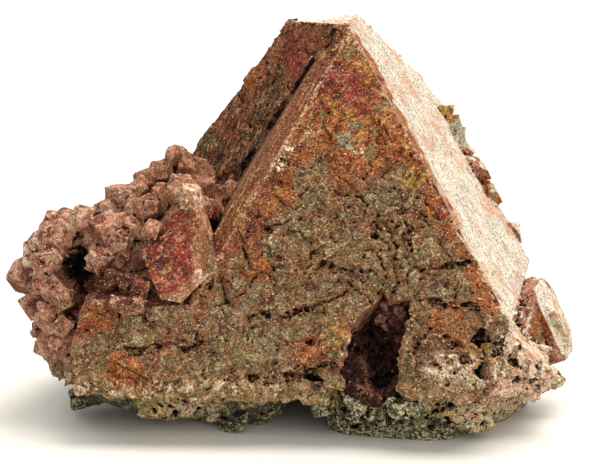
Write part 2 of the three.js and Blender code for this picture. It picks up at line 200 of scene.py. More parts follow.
def keep_group(piece, name, weight):
    """A vertex group that carries the mask in even steps."""
    group = piece.vertex_groups.new(name=name)
    steps = np.rint(np.clip(weight, 0, 1) * WEIGHT_STEPS).astype(int)
    for step in range(1, WEIGHT_STEPS + 1):
        members = np.flatnonzero(steps == step)
        if len(members):
            group.add(members.tolist(), step / WEIGHT_STEPS, "REPLACE")


def keep_attribute(piece, name, value):
    attribute = piece.data.attributes.new(name, "FLOAT", "POINT")
    attribute.data.foreach_set("value", np.clip(value, 0, 1).astype(np.float32))


def patches(spots, zones):
    """Round zones added up, each given by its centre and radius in millimetres and its strength."""
    total = np.zeros(len(spots))
    for centre, radius, strength in zones:
        away = np.linalg.norm(spots - np.array(centre), axis=1)
        total += strength * (1 - smooth(away, 0.35 * radius, radius))
    return total


# %% Helpers for relief
def grid(name, turn=(0, 0, 0), stretch=(1, 1, 1)):
    """An empty whose units are millimetres, turned and stretched where a pattern runs one way."""
    empty = linked(name, None)
    empty.rotation_euler = turn
    empty.scale = Vector(stretch) * MM
    bpy.context.view_layer.update()
    return empty


def texture(kind, size, ramp=None, **settings):
    """A pattern. A ramp keeps only the levels between its two ends, spread from nought to one."""
    made = bpy.data.textures.new(kind.lower(), kind)
    made.noise_scale = size
    for key, value in settings.items():
        setattr(made, key, value)
    if ramp:
        made.use_color_ramp = True
        first, last = made.color_ramp.elements[0], made.color_ramp.elements[-1]
        first.position, last.position = ramp
        first.color = (0, 0, 0, 1)
        last.color = (1, 1, 1, 1)
    return made


def relief(piece, pattern, depth, where="", mid=0.5, space=None):
    """Push the skin out by the pattern, depth in millimetres. The level mid stays where it is."""
    modify(
        piece,
        "DISPLACE",
        texture=pattern,
        texture_coords="OBJECT",
        texture_coords_object=space or millimetres,
        strength=depth * MM,
        mid_level=mid,
        vertex_group=where,
    )


millimetres = grid("millimetres")

# %% [markdown]
# ## The large crystal faces
#
# A face is known by where it looks: the turn of its normal from the viewer towards the right, and its lean
# above level. How far out each face lies is measured on the imported solid, from the triangles that look that
# way. The faces serve as masks later: grit on the front, streaks on the right, painted shade in the groove
# between the crystals.

# %% Directions of the large faces
FACES = {
    # turn and lean in degrees
    "front": (-5, 32),
    "right": (76, 35.75),
    "top": (-61, 81),
    "strip": (-47.5, 40.3),
    "rear_front": (-48, 25),
    "rear_left": (-120, 34.15),
    "back": (172, 46),
    "back_steep": (165, 24),
}


def looks(turn, lean):
    """The way in which a face of this turn and lean looks, as a vector of length one."""
    t, e = math.radians(turn), math.radians(lean)
    return np.array([math.sin(t) * math.cos(e), -math.cos(t) * math.cos(e), math.sin(e)])


SAME_WAY = 0.9995  # cosine of the angle between two directions that count as one


def measured_reach(piece, direction):
    faces = [f for f in piece.data.polygons if np.dot(f.normal, direction) > SAME_WAY]
    area = sum(f.area for f in faces)
    return sum(f.area * np.dot(f.center, direction) for f in faces) / area / MM


crystals = merged_copy("spinel_crystals", "spinel_crystals_skin")
reach = {name: measured_reach(crystals, looks(*angles)) for name, angles in FACES.items()}
print("faces lie at", {name: round(float(value), 1) for name, value in reach.items()}, "mm")


def on_face(spots, outward, name, thickness=1.3, spread=0.12):
    """One on the named face. It fades past the thickness in mm and where the skin looks another way."""
    direction = looks(*FACES[name])
    off = np.abs(spots @ direction - reach[name])
    square = outward @ direction
    return smooth(square, 1 - spread, 1 - 0.25 * spread) * (1 - smooth(off, thickness, 1.6 * thickness))


def near_both(spots, first, second):
    """One on the line where two large faces meet, nought half a millimetre away from either."""
    offs = [np.abs(spots @ looks(*FACES[name]) - reach[name]) for name in (first, second)]
    return (1 - smooth(offs[0], 0.1, 0.5)) * (1 - smooth(offs[1], 0.1, 0.5))


def looks_back(spots, outward):
    """One on the far side of the specimen, nought on what the viewer sees."""
    return smooth(outward[:, 1], 0.1, 0.5) * smooth(spots[:, 1], 0.0, 6.0)


# %% Directions of the streaks
# Growth lines run along an edge: on the right face along the ridge, on the narrow strip along its own
# length.
ridge = np.cross(looks(*FACES["front"]), looks(*FACES["right"]))
edge = np.cross(looks(*FACES["front"]), looks(*FACES["strip"]))
RIDGE_TURN = Vector(ridge).to_track_quat("X", "Z").to_euler()
EDGE_TURN = Vector(edge).to_track_quat("X", "Z").to_euler()
along_ridge = grid("along_ridge", RIDGE_TURN, (9, 1, 1))
along_edge = grid("along_edge", EDGE_TURN, (12, 1, 1))

# %% [markdown]
# ## Small crystals
#
# The heap at the left is built of octahedra, most of them one to three millimetres across and with blunt
# corners. A four-sided double pyramid with its corners bevelled away is such a crystal, and a squeezed one
# makes a tablet. A cube with cut corners makes a block. A ball of few faces, cut by four planes, makes a
# chip of stone. One flat crystal stands apart at the right foot, and a cube cut by five planes makes that
# slab. Each model is made once. Every copy is turned and sized at random and sinks into its neighbours, as
# crystals that grew together do.

# %% Three small crystals, a chip and a slab


def small_crystal(name, blunt, squeeze):
    bpy.ops.object.select_all(action="DESELECT")
    bpy.ops.mesh.primitive_uv_sphere_add(segments=4, ring_count=2, radius=1)
    piece = bpy.context.object
    piece.name = name
    bpy.ops.object.mode_set(mode="EDIT")
    bpy.ops.mesh.select_all(action="SELECT")
    bpy.ops.mesh.bevel(offset=blunt, affect="VERTICES", segments=1)
    bpy.ops.transform.resize(value=squeeze)
    bpy.ops.object.mode_set(mode="OBJECT")
    return piece


def cut_faces(piece, cuts):
    """Cut by planes, each given by its turn and lean in degrees and by how far out it lies."""
    select_only(piece)
    bpy.ops.object.mode_set(mode="EDIT")
    for turn, lean, reach in cuts:
        bpy.ops.mesh.select_all(action="SELECT")
        direction = looks(turn, lean)
        bpy.ops.mesh.bisect(plane_co=direction * reach, plane_no=direction, use_fill=True, clear_outer=True)
    bpy.ops.object.mode_set(mode="OBJECT")


def cut_cube(name, size, cuts):
    bpy.ops.object.select_all(action="DESELECT")
    bpy.ops.mesh.primitive_cube_add(size=size)
    piece = bpy.context.object
    piece.name = name
    cut_faces(piece, cuts)
    return piece


octahedron = small_crystal("octahedron", 0.2, (1.0, 1.0, 1.0))
tablet = small_crystal("tablet", 0.3, (1.15, 1.0, 0.55))
block = cut_cube("block", 1.5, [(45, 35, 0.82), (-135, -35, 0.9), (-40, 40, 1.0)])
CRYSTAL_MODELS = [octahedron, tablet, block]

bpy.ops.object.select_all(action="DESELECT")
bpy.ops.mesh.primitive_ico_sphere_add(subdivisions=1, radius=1)
chip = bpy.context.object
chip.name = "chip"
cut_faces(chip, [(20, 30, 0.45), (150, -20, 0.5), (260, 50, 0.55), (80, -60, 0.6)])

slab = cut_cube("slab", 2, [(90, 42, 1.25), (0, 55, 1.15), (180, 30, 1.1), (90, -35, 1.3), (5, -40, 1.15)])
for model in [*CRYSTAL_MODELS, chip, slab]:
    print(model.name, "has", len(model.data.polygons), "faces")

# %% [markdown]
# ## Placing copies
#
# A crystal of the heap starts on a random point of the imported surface, where a rule says that its kind may
# grow. Others follow a line, such as the broken lower edge. A few stand where the eye remembers them, so
# they are set by hand. Every copy has its own mesh, and all random draws start from a fixed seed.

# %% Placing copies


def placed(model, spot, size, turn):
    """A copy whose mesh is sized, turned and moved, so that the object itself stays at the origin."""
    copy = linked(model.name, model.data.copy())
    copy.data.transform(
        Matrix.Translation(spot) @ Euler(turn).to_matrix().to_4x4() @ Matrix.Diagonal((*size, 1))
    )
    return copy


def set_in(model, spot, size, turn):
    """A copy set one by one, with its place and half sizes in millimetres."""
    return placed(model, Vector(spot) * MM, Vector(size) * MM, turn)


def strewn(models, host, count, sizes, keep, seed, sink=0.0):
    """Copies at random points of the faces that keep allows, small ones more often than large ones."""
    draw = random.Random(seed)
    faces = [f for f in host.data.polygons if keep(Vector(f.center) / MM, f.normal)]
    weights = [f.area for f in faces]
    copies = []
    for face in draw.choices(faces, weights, k=count):
        corners = [host.data.vertices[i].co for i in face.vertices]
        shares = [draw.random() + 0.01 for _ in corners]
        spot = sum((c * s for c, s in zip(corners, shares)), Vector()) / sum(shares)
        size = (sizes[0] + (sizes[1] - sizes[0]) * draw.random() ** 2) * MM
        turn = [draw.uniform(0, math.tau) for _ in range(3)]
        spot -= sink * size * face.normal
        copies.append(placed(draw.choice(models), spot, (size, size, size), turn))
    return copies


def lined_up(models, points, count, sizes, stray, seed):
    """Copies along a line of points, each up to stray millimetres beside it."""
    draw = random.Random(seed)
    copies = []
    for _ in range(count):
        first = draw.randrange(len(points) - 1)
        spot = Vector(points[first]).lerp(Vector(points[first + 1]), draw.random())
        spot += Vector([draw.uniform(-stray, stray) for _ in range(3)])
        size = draw.uniform(*sizes) * MM
        turn = [draw.uniform(0, math.tau) for _ in range(3)]
        copies.append(placed(draw.choice(models), spot * MM, (size, size, size), turn))
    return copies


def joined(host, copies):
    select_only(host, *copies)
    bpy.ops.object.join()


# %% [markdown]
# ## Hollows
#
# Where crystals did not close up, a hollow stays. The larger ones are cut out with a chip of stone as the
# tool, before the small crystals grow, so that crystals also line them. Two more cuts, with a block as the
# tool, give the deep red crystal its side face and free the slab at the right foot from the stone behind
# it.

# %% Hollows between the crystals
HOLLOWS = [
    # centre, half sizes, in mm
    ((-33.8, -10.8, 24.3), (3.0, 5.6, 2.8)),
    ((-32.4, -12.6, 22.0), (2.2, 3.6, 2.2)),
    ((8.6, -22.0, 15.2), (1.3, 3.0, 2.4)),
    ((18.4, -20.4, 20.2), (1.4, 3.0, 1.3)),
    ((28.8, -25.6, 16.0), (1.5, 3.0, 1.8)),
    ((29.4, -28.0, 12.0), (1.5, 2.6, 1.7)),
    ((26.8, -27.8, 13.6), (0.9, 2.0, 1.1)),
    ((34.4, -25.4, 14.3), (0.6, 1.6, 1.3)),
    ((3.6, -26.0, 10.2), (4.4, 2.2, 0.8)),
]
CHIP_REACH = 1.3  # a chip is cut on all sides, so it is made larger to fill the half sizes

draw = random.Random(6)
cutters = []
for centre, half in HOLLOWS:
    turn = [draw.uniform(-0.4, 0.4) for _ in range(3)]
    cutters.append(placed(chip, Vector(centre) * MM, Vector(half) * CHIP_REACH * MM, turn))
WINDOW_SIDE = (-12.0, -19.8, 27.3)
cutters.append(set_in(block, WINDOW_SIDE, (3.6, 4.0, 9.5), (-0.38, 0, 0.61)))
SLAB_SIDE = (46.3, -6.0, 15.2)
cutters.append(set_in(block, SLAB_SIDE, (4.0, 20.0, 12.0), (0, -0.41, 0)))
for cutter in cutters:
    modify(crystals, "BOOLEAN", operation="DIFFERENCE", solver="EXACT", object=cutter)
    bpy.data.objects.remove(cutter)
print("the crystals have", triangles(crystals), "triangles after", len(cutters), "cuts")

# %% Where the small crystals grow
# All places are in millimetres. Each rule says whether its kind may start at a spot that looks that way.
WINDOW_CRYSTAL = Vector((-17.5, -15.0, 27.5))
LOW_CRYSTAL = Vector((-24.0, -19.0, 17.0))
HEAP_GAPS = [Vector((-33.4, -12.2, 23.6)), Vector((-12.0, -9.5, 29.5))]
MOUTH = [
    (8.0, -26.3, 8.5), (8.0, -25.5, 11.5), (8.3, -24.8, 15.0), (9.0, -23.6, 17.1), (10.8, -22.3, 19.0),
    (13.5, -21.6, 21.0), (16.5, -20.9, 22.4), (18.4, -21.5, 21.5), (18.0, -23.5, 18.8),
    (17.0, -25.3, 16.0), (16.6, -26.7, 13.2), (16.8, -28.6, 9.9),
]
LOWER_EDGE = [
    (-31.0, -23.5, 9.3), (-27.7, -25.0, 8.6), (-20.0, -25.2, 8.0), (-12.4, -25.6, 8.0),
    (-6.2, -26.6, 8.4), (-0.2, -24.5, 8.0), (5.0, -25.5, 8.0),
]
LEDGE = [(-31.3, -18.3, 19.5), (-28.1, -18.9, 19.7), (-25.0, -19.3, 19.9), (-22.4, -19.6, 19.9)]
RIGHT_EDGE = [(16.9, -28.4, 9.0), (21.0, -28.8, 8.7), (26.5, -29.2, 8.8), (31.0, -28.4, 9.0)]
NEARLY_SQUARE = 0.985  # cosine of the widest angle at which a spot looks as its face does
FACE_DEPTH = 1.5
ROOM_FOR_SINGLE = 8
ROOM_FOR_GAP = 4.6


def is_cluster(spot, outward):
    """Anywhere but on a large face or the underside."""
    for name, angles in FACES.items():
        direction = Vector(looks(*angles))
        level = abs(spot.dot(direction) - reach[name]) < FACE_DEPTH
        if level and outward.dot(direction) > NEARLY_SQUARE:
            return False
    return outward.z > -0.5


def is_heap(spot, outward):
    apart = all((spot - single).length > ROOM_FOR_SINGLE for single in (WINDOW_CRYSTAL, LOW_CRYSTAL))
    apart = apart and all((spot - gap).length > ROOM_FOR_GAP for gap in HEAP_GAPS)
    return is_cluster(spot, outward) and spot.x < -12.5 and spot.z > 5 and apart


def is_low_heap(spot, outward):
    return is_heap(spot, outward) and spot.x < -29 and 12.5 < spot.z < 34 and spot.y < 2


def is_crumbly(spot, outward):
    on_slab = spot.x > 37 and spot.z > 11.5
    return is_cluster(spot, outward) and spot.x > 26 and spot.z < 20 and not on_slab


def is_block(spot, outward):
    """The porous block at the right of the hollow, with the crumbly mass below it."""
    return spot.x > 17.5 and spot.y < -21.0 and spot.z < 17.0 and outward.y < -0.3


def is_rim(spot, outward):
    return min((spot - Vector(point)).length for point in MOUTH) < 2.0


def is_foot(spot, outward):
    return spot.z < 8.5 and spot.y < -14


# %% Grow the heap, the crumbly side and the rim of the hollow
# The numbers are the count, the smallest and largest size in mm, and the share of the size that sinks in.
growth = [
    strewn([octahedron, block], crystals, 70, (1.9, 3.2), is_low_heap, seed=5, sink=0.68),
    strewn(CRYSTAL_MODELS, crystals, 190, (1.1, 2.3), is_heap, seed=3, sink=0.45),
    strewn(CRYSTAL_MODELS, crystals, 330, (0.4, 0.9), is_heap, seed=13, sink=0.15),
    strewn(CRYSTAL_MODELS, crystals, 420, (0.35, 1.3), is_crumbly, seed=4, sink=0.2),
    strewn([octahedron, chip], crystals, 260, (0.35, 1.3), is_foot, seed=15, sink=0.1),
    lined_up([octahedron, chip], LOWER_EDGE, 190, (0.6, 1.9), 0.9, seed=17),
    lined_up([octahedron, chip], RIGHT_EDGE, 90, (0.5, 1.5), 0.8, seed=18),
    lined_up([octahedron, block], LEDGE, 34, (0.5, 1.4), 0.6, seed=19),
    strewn([chip, block], crystals, 150, (0.8, 2.2), is_block, seed=21, sink=0.55),
    strewn([chip], crystals, 150, (0.3, 0.9), is_rim, seed=11, sink=0.2),
]
SINGLES = [
    # model, centre and half sizes in mm, turn
    (block, (31.2, -27.8, 12.1), (2.7, 2.6, 2.4), (-0.35, 0.1, 0.5)),
    (slab, (41.4, -5.6, 13.8), (1.7, 4.6, 6.4), (0.1, -0.42, -0.4)),
    (block, (31.9, 15.0, 34.9), (1.5, 1.9, 2.4), (0.2, -0.5, 0.3)),
    (block, (33.6, 12.6, 31.2), (1.3, 1.8, 2.6), (-0.2, -0.4, 0.6)),
    (block, (-30.8, -21.4, 12.8), (1.7, 1.9, 1.5), (0.2, 0.3, 0.4)),
    (block, (-15.9, -12.6, 35.7), (2.0, 2.0, 2.2), (0.3, 0.2, 0.3)),
    (block, (-18.2, -11.6, 36.2), (1.8, 1.6, 1.8), (0.7, -0.3, 0.9)),
    (octahedron, (-14.1, -11.8, 34.4), (1.7, 1.7, 1.7), (0.2, 0.5, 0.1)),
    (octahedron, (-21.6, -15.2, 31.0), (2.0, 2.0, 2.0), (0.5, 0.1, 0.6)),
]
growth.append([set_in(*single) for single in SINGLES])
joined(crystals, [copy for copies in growth for copy in copies])
print("crystals and chips grown:", [len(copies) for copies in growth])

# %% [markdown]
# ## One skin
#
# Crystals that grew together share one surface. A voxel remesh turns the pile of solids into that surface.
# Its step is a fifth of a millimetre, so edges stay crisp to the eye and there are vertices enough for the
# grit.

# %% Remesh the crystals
SKIN_STEP = 0.2 * MM

modify(crystals, "REMESH", mode="VOXEL", voxel_size=SKIN_STEP)
print("the skin has", triangles(crystals), "triangles")

# %% [markdown]
# ## Cracks, plates and pits
#
# Each crack is a chain of points on the front face. A natural crack is never straight, so every stretch is
# halved three times and the new points are moved a little aside. The vertices near the line then sink in.
# The front also ends in thin plates: below the edge of a plate the stone lies deeper and climbs back to the
# face further down. The two large crystals meet in one straight groove. Pits are round, so a point and a
# radius describe them.

# %% Where the cracks, plates and pits lie
CRACKS = [
    [
        (6.9, -11.6, 36.6), (8.4, -11.8, 35.7), (10.5, -12.1, 35.6), (12.0, -12.7, 34.8),
        (11.7, -13.7, 33.2), (13.5, -14.9, 31.5), (15.7, -15.6, 30.7), (17.2, -16.1, 30.2),
        (18.8, -15.5, 31.4), (20.1, -14.5, 33.1),
    ],
    [
        (15.7, -15.6, 30.7), (16.6, -16.9, 28.8), (15.9, -17.9, 27.1), (17.1, -18.9, 25.7),
        (16.5, -20.0, 23.8), (15.5, -20.8, 22.4),
    ],
    [
        (17.1, -18.9, 25.7), (19.9, -19.1, 25.3), (21.8, -19.2, 25.8), (23.9, -19.3, 26.0),
        (25.8, -19.2, 26.5), (27.6, -19.1, 26.8),
    ],
    [(17.2, -16.1, 30.2), (18.9, -17.0, 28.6), (19.4, -18.2, 26.8)],
    [
        (-5.2, -13.5, 31.9), (-3.9, -14.1, 31.2), (-2.4, -13.9, 31.7), (-0.5, -13.8, 32.1),
        (1.4, -13.7, 32.6),
    ],
    [
        (-10.1, -19.6, 20.8), (-8.8, -19.3, 21.4), (-7.3, -19.1, 22.0), (-6.4, -18.4, 23.1),
        (-5.4, -17.8, 24.2),
    ],
    [(8.3, -20.3, 22.3), (10.2, -20.2, 22.4), (11.8, -20.7, 21.6), (12.6, -21.4, 20.4)],
    [
        (-1.6, -21.6, 18.7), (-0.2, -21.3, 19.4), (1.4, -21.2, 19.8), (3.3, -21.1, 20.2),
        (4.9, -20.8, 20.9), (6.1, -20.8, 21.1), (8.3, -20.3, 22.3),
    ],
]
HALVINGS = 3
STRAY = 0.13  # sideways, as a share of the stretch
# how far each reaches from its line, in mm
CRACK_WIDTH = 0.34
FINE_CRACK_WIDTH = 0.28
GROOVE_WIDTH = 0.6
PLATE_FALL = 2.6
GROOVE = [np.array([(6.9, 4.9, 59.7), (-1.1, 5.3, 47.7), (-9.6, 5.4, 35.0)])]
PLATE_EDGES = [
    [
        (-7.8, -26.2, 10.5), (-5.5, -26.2, 10.9), (-3.5, -26.4, 10.6), (-0.9, -26.3, 11.4),
        (2.9, -26.2, 12.0), (4.7, -25.8, 12.6), (6.7, -25.2, 13.6),
    ],
    [
        (-1.6, -21.6, 18.7), (-0.2, -21.3, 19.4), (1.4, -21.2, 19.8), (3.3, -21.1, 20.2),
        (6.1, -20.8, 21.1),
    ],
    [
        (-27.0, -23.2, 14.6), (-23.4, -23.4, 14.4), (-19.8, -23.2, 15.0), (-16.0, -23.6, 14.6),
        (-12.0, -24.0, 14.4),
    ],
    [(-7.6, -21.3, 18.4), (-6.0, -21.0, 19.1), (-4.5, -20.8, 19.7), (-2.5, -20.8, 19.9)],
    [(3.9, -15.8, 29.5), (6.0, -17.5, 26.4), (8.3, -18.2, 25.6), (11.0, -18.0, 26.4)],
    [(-0.9, -14.2, 31.6), (1.4, -14.7, 30.9), (3.9, -15.8, 29.5)],
    [(20.6, -21.8, 21.4), (23.6, -22.4, 20.9), (26.8, -22.4, 21.2), (29.6, -22.4, 21.4)],
]
PITS = [
    ((19.2, -26.2, 15.4), 0.8, 1.0), ((18.4, -26.8, 14.3), 0.8, 1.0), ((23.6, -25.8, 16.7), 0.7, 1.0),
    ((24.8, -26.7, 15.6), 1.3, 1.0), ((23.4, -26.8, 15.3), 0.7, 1.0), ((23.1, -26.3, 13.9), 0.8, 1.0),
    ((23.5, -27.7, 13.8), 0.6, 1.0), ((20.9, -27.2, 14.3), 0.7, 1.0), ((26.0, -27.9, 13.7), 1.1, 1.0),
    ((-3.6, -14.3, 30.8), 0.9, 1.0), ((-2.0, -16.9, 26.9), 0.8, 1.0), ((9.0, -12.5, 34.0), 0.7, 1.0),
    ((13.0, -15.6, 30.2), 0.9, 1.0), ((6.0, -17.8, 25.8), 0.8, 0.8), ((3.0, -23.8, 15.4), 1.0, 1.0),
]


def jagged(lines, seed):
    """Every stretch of every line halved again and again, with the new points moved a little aside."""
    draw = np.random.default_rng(seed)
    finished = []
    for points in lines:
        line = np.array(points)
        for _ in range(HALVINGS):
            steps = line[1:] - line[:-1]
            aside = draw.normal(0, STRAY, steps.shape) * np.linalg.norm(steps, axis=1)[:, None]
            line = np.insert(line, range(1, len(line)), line[:-1] + steps / 2 + aside, axis=0)
        finished.append(line)
    return finished


def nearest_on(line, spots):
    """The vector to each spot from the nearest point of the line, and how far along the line that is."""
    offset = np.full(spots.shape, 9.0)
    along = np.zeros(len(spots))
    for number, (start, end) in enumerate(zip(line, line[1:])):
        step = end - start
        share = np.clip((spots - start) @ step / (step @ step), 0, 1)
        candidate = spots - start - share[:, None] * step
        closer = np.linalg.norm(candidate, axis=1) < np.linalg.norm(offset, axis=1)
        offset[closer] = candidate[closer]
        along[closer] = (number + share[closer]) / (len(line) - 1)
    return offset, along


def around(line, spots, margin):
    """The numbers of the spots in a box around the line."""
    return np.flatnonzero(np.all((spots > line.min(0) - margin) & (spots < line.max(0) + margin), axis=1))


def near_lines(spots, lines, half_width):
    """One along the lines, nought at half the width from them and beyond."""
    weight = np.zeros(len(spots))
    for line in lines:
        close = around(line, spots, half_width)
        away = np.linalg.norm(nearest_on(line, spots[close])[0], axis=1)
        weight[close] = np.maximum(weight[close], 1 - smooth(away, 0.4 * half_width, half_width))
    return weight


def under_lines(spots, lines, fall):
    """Deepest just below each line and nothing beyond the fall, which leaves what is above as a plate."""
    facing = looks(*FACES["front"])
    up = np.cross(facing, np.cross((0, 0, 1), facing))
    weight = np.zeros(len(spots))
    for line in lines:
        close = around(line, spots, fall)
        offset, along = nearest_on(line, spots[close])
        drop = 1 - smooth(np.linalg.norm(offset, axis=1), 0, fall)
        ends = smooth(along, 0, 0.15) * smooth(1 - along, 0, 0.15)
        weight[close] = np.maximum(weight[close], (offset @ up < 0) * drop * ends)
    return weight


def small_cracks(centre, radius, count, seed):
    """Short broken lines that wander over the front face around a point."""
    draw = random.Random(seed)
    facing = Vector(looks(*FACES["front"]))
    across = Vector((0, 0, 1)).cross(facing).normalized()
    up = facing.cross(across)
    lines = []
    for _ in range(count):
        spot = Vector(centre) + draw.gauss(0, radius) * across + draw.gauss(0, radius) * up
        heading = draw.uniform(0, math.tau)
        line = [spot]
        for _ in range(draw.randrange(2, 5)):
            heading += draw.gauss(0, 0.6)
            spot = spot + draw.uniform(0.7, 1.7) * (math.cos(heading) * across + math.sin(heading) * up)
            line.append(spot)
        lines.append([tuple(point) for point in line])
    return lines


# %% Masks on the clean skin
spots, outward = places(crystals), normals(crystals)
mask = {name: on_face(spots, outward, name) for name in FACES}
flat = np.clip(sum(mask.values()), 0, 1)
window = patches(spots, [(WINDOW_CRYSTAL, 9.0, 1.0)])
keep_group(crystals, "window", window)
for name in ("front", "right", "rear_front", "strip"):
    keep_group(crystals, name, mask[name])
keep_group(crystals, "rough", 1 - flat)
FINE_CRACKS = [
    # centre and spread in mm, count, seed
    ((17.0, -17.3, 28.2), 4.0, 22, 21),
    ((13.0, -12.8, 34.5), 3.5, 10, 22),
    ((-4.0, -17.5, 26.0), 5.0, 10, 23),
    ((-12.0, -21.5, 18.0), 5.0, 12, 24),
]
fine_cracks = [line for place in FINE_CRACKS for line in small_cracks(*place)]
cracked = near_lines(spots, jagged(CRACKS, 2), CRACK_WIDTH)
cracked += 0.6 * near_lines(spots, jagged(fine_cracks, 3), FINE_CRACK_WIDTH)
keep_group(crystals, "cracks", cracked + near_lines(spots, GROOVE, GROOVE_WIDTH))
keep_group(crystals, "under_plates", under_lines(spots, jagged(PLATE_EDGES, 4), PLATE_FALL))
keep_group(crystals, "behind", looks_back(spots, outward) * (1 - mask["right"]))
keep_group(crystals, "pits", patches(spots, PITS))
POROUS = [((31.0, -25.0, 13.0), 6.0, 0.8), ((37.0, -16.0, 12.0), 11.0, 0.8)]
keep_group(crystals, "porous", patches(spots, POROUS) * (1 - mask["right"]))
print("share of the skin on large faces:", round(float(flat.mean()), 2))

# %% [markdown]
# ## Relief
#
# The weathered front carries thin flaky plates with ragged steps, a few pits and fine grit. The right face
# is fresher: streaks run down it, parallel to the ridge. The far side is coarse, and dust covers
# everything. Each layer is one displacement by a noise, only as deep as a few steps of the skin, and it
# keeps to its own faces.

# %% Relief of the crystals
swell = texture("CLOUDS", 9, noise_depth=2)
broad_flakes = texture("CLOUDS", 7, ramp=(0.49, 0.515), noise_depth=6)
small_flakes = texture("CLOUDS", 3, ramp=(0.53, 0.56), noise_depth=6)
sparse_pits = texture("CLOUDS", 1.2, ramp=(0.73, 0.8), noise_depth=2)
round_pits = texture("VORONOI", 2.4, ramp=(0.09, 0.03))
grains = texture("VORONOI", 0.7)
dust = texture("CLOUDS", 0.5, noise_depth=3)
streaks = texture("CLOUDS", 0.7, noise_depth=3)

RELIEF = [
    # pattern, depth in mm, where, the level that stays put, coordinates
    (swell, 0.5, "front", 0.5, millimetres),
    (broad_flakes, 0.42, "front", 0.5, millimetres),
    (small_flakes, 0.2, "front", 0.5, millimetres),
    (sparse_pits, -0.25, "front", 0, millimetres),
    (grains, 0.12, "front", 0.3, millimetres),
    (swell, 0.5, "rear_front", 0.5, millimetres),
    (broad_flakes, 0.35, "rear_front", 0.5, millimetres),
    (small_flakes, 0.4, "rear_front", 0.5, millimetres),
    (grains, 0.25, "rear_front", 0.3, millimetres),
    (small_flakes, 0.2, "window", 0.5, millimetres),
    (grains, 0.15, "window", 0.3, millimetres),
    (swell, 0.8, "behind", 0.5, millimetres),
    (broad_flakes, 0.5, "behind", 0.5, millimetres),
    (small_flakes, 0.35, "behind", 0.5, millimetres),
    (grains, 0.2, "behind", 0.3, millimetres),
    (streaks, 0.2, "right", 0.5, along_ridge),
    (small_flakes, 0.14, "right", 0.5, millimetres),
    (streaks, 0.2, "strip", 0.5, along_edge),
    (grains, 0.1, "rough", 0.3, millimetres),
    (round_pits, -0.5, "porous", 0, millimetres),
    (dust, 0.12, "", 0.5, millimetres),
]
SUNK = {"cracks": 0.6, "under_plates": 0.55, "pits": 1.1}

modify(crystals, "SMOOTH", factor=0.5, iterations=24, vertex_group="front")
for layer in RELIEF:
    relief(crystals, *layer)
for where, depth in SUNK.items():
    modify(crystals, "DISPLACE", strength=-depth * MM, mid_level=0, vertex_group=where)
keep_inside(crystals)
print("the crystals carry", len(RELIEF), "layers of relief")

# %% Thin out
# The flat stretches between the grains need fewer triangles than the voxel step gave them.
CRYSTALS_WANTED = 540_000


def thin_out(piece, wanted):
    modify(piece, "DECIMATE", ratio=min(1, wanted / triangles(piece)))


thin_out(crystals, CRYSTALS_WANTED)
print("thinned to", triangles(crystals), "triangles")

# %% [markdown]
# ## Masks for the colours
#
# Hollows get painted shade and crests wear pale, so both are measured on the finished skin. Rust, film and the
# red of the crystal keep to their places: each is a list of round zones in millimetres, stored on the
# vertices.

# %% Hollows and crests


def sunk(piece, rounds):
    """Millimetres from each vertex up to the surface smoothed around it. More rounds reach wider."""
    mesh = piece.data
    ends = np.empty(len(mesh.edges) * 2, np.int32)
    mesh.edges.foreach_get("vertices", ends)
    first, second = ends.reshape(-1, 2).T
    count = len(mesh.vertices)
    neighbours = np.bincount(first, minlength=count) + np.bincount(second, minlength=count)
    spots = places(piece).astype(float)
    soft = spots
    for _ in range(rounds):
        sums = [
            np.bincount(first, soft[second, k], count) + np.bincount(second, soft[first, k], count)
            for k in range(3)
        ]
        soft = np.stack(sums, axis=1) / neighbours[:, None]
    return ((soft - spots) * normals(piece)).sum(axis=1)


WIDE_ROUNDS = 40
FINE_ROUNDS = 4


def keep_hollows(piece):
    deep = sunk(piece, WIDE_ROUNDS)
    fine = sunk(piece, FINE_ROUNDS)
    # the first mask marks the hollows for painted shade, the second the crests, which wear pale
    keep_attribute(piece, "recess_shade", smooth(deep, 0.1, 0.75) + 0.8 * smooth(fine, 0.03, 0.18))
    keep_attribute(piece, "crest", 0.6 * smooth(-deep, 0.1, 0.6) + 0.5 * smooth(-fine, 0.04, 0.16))


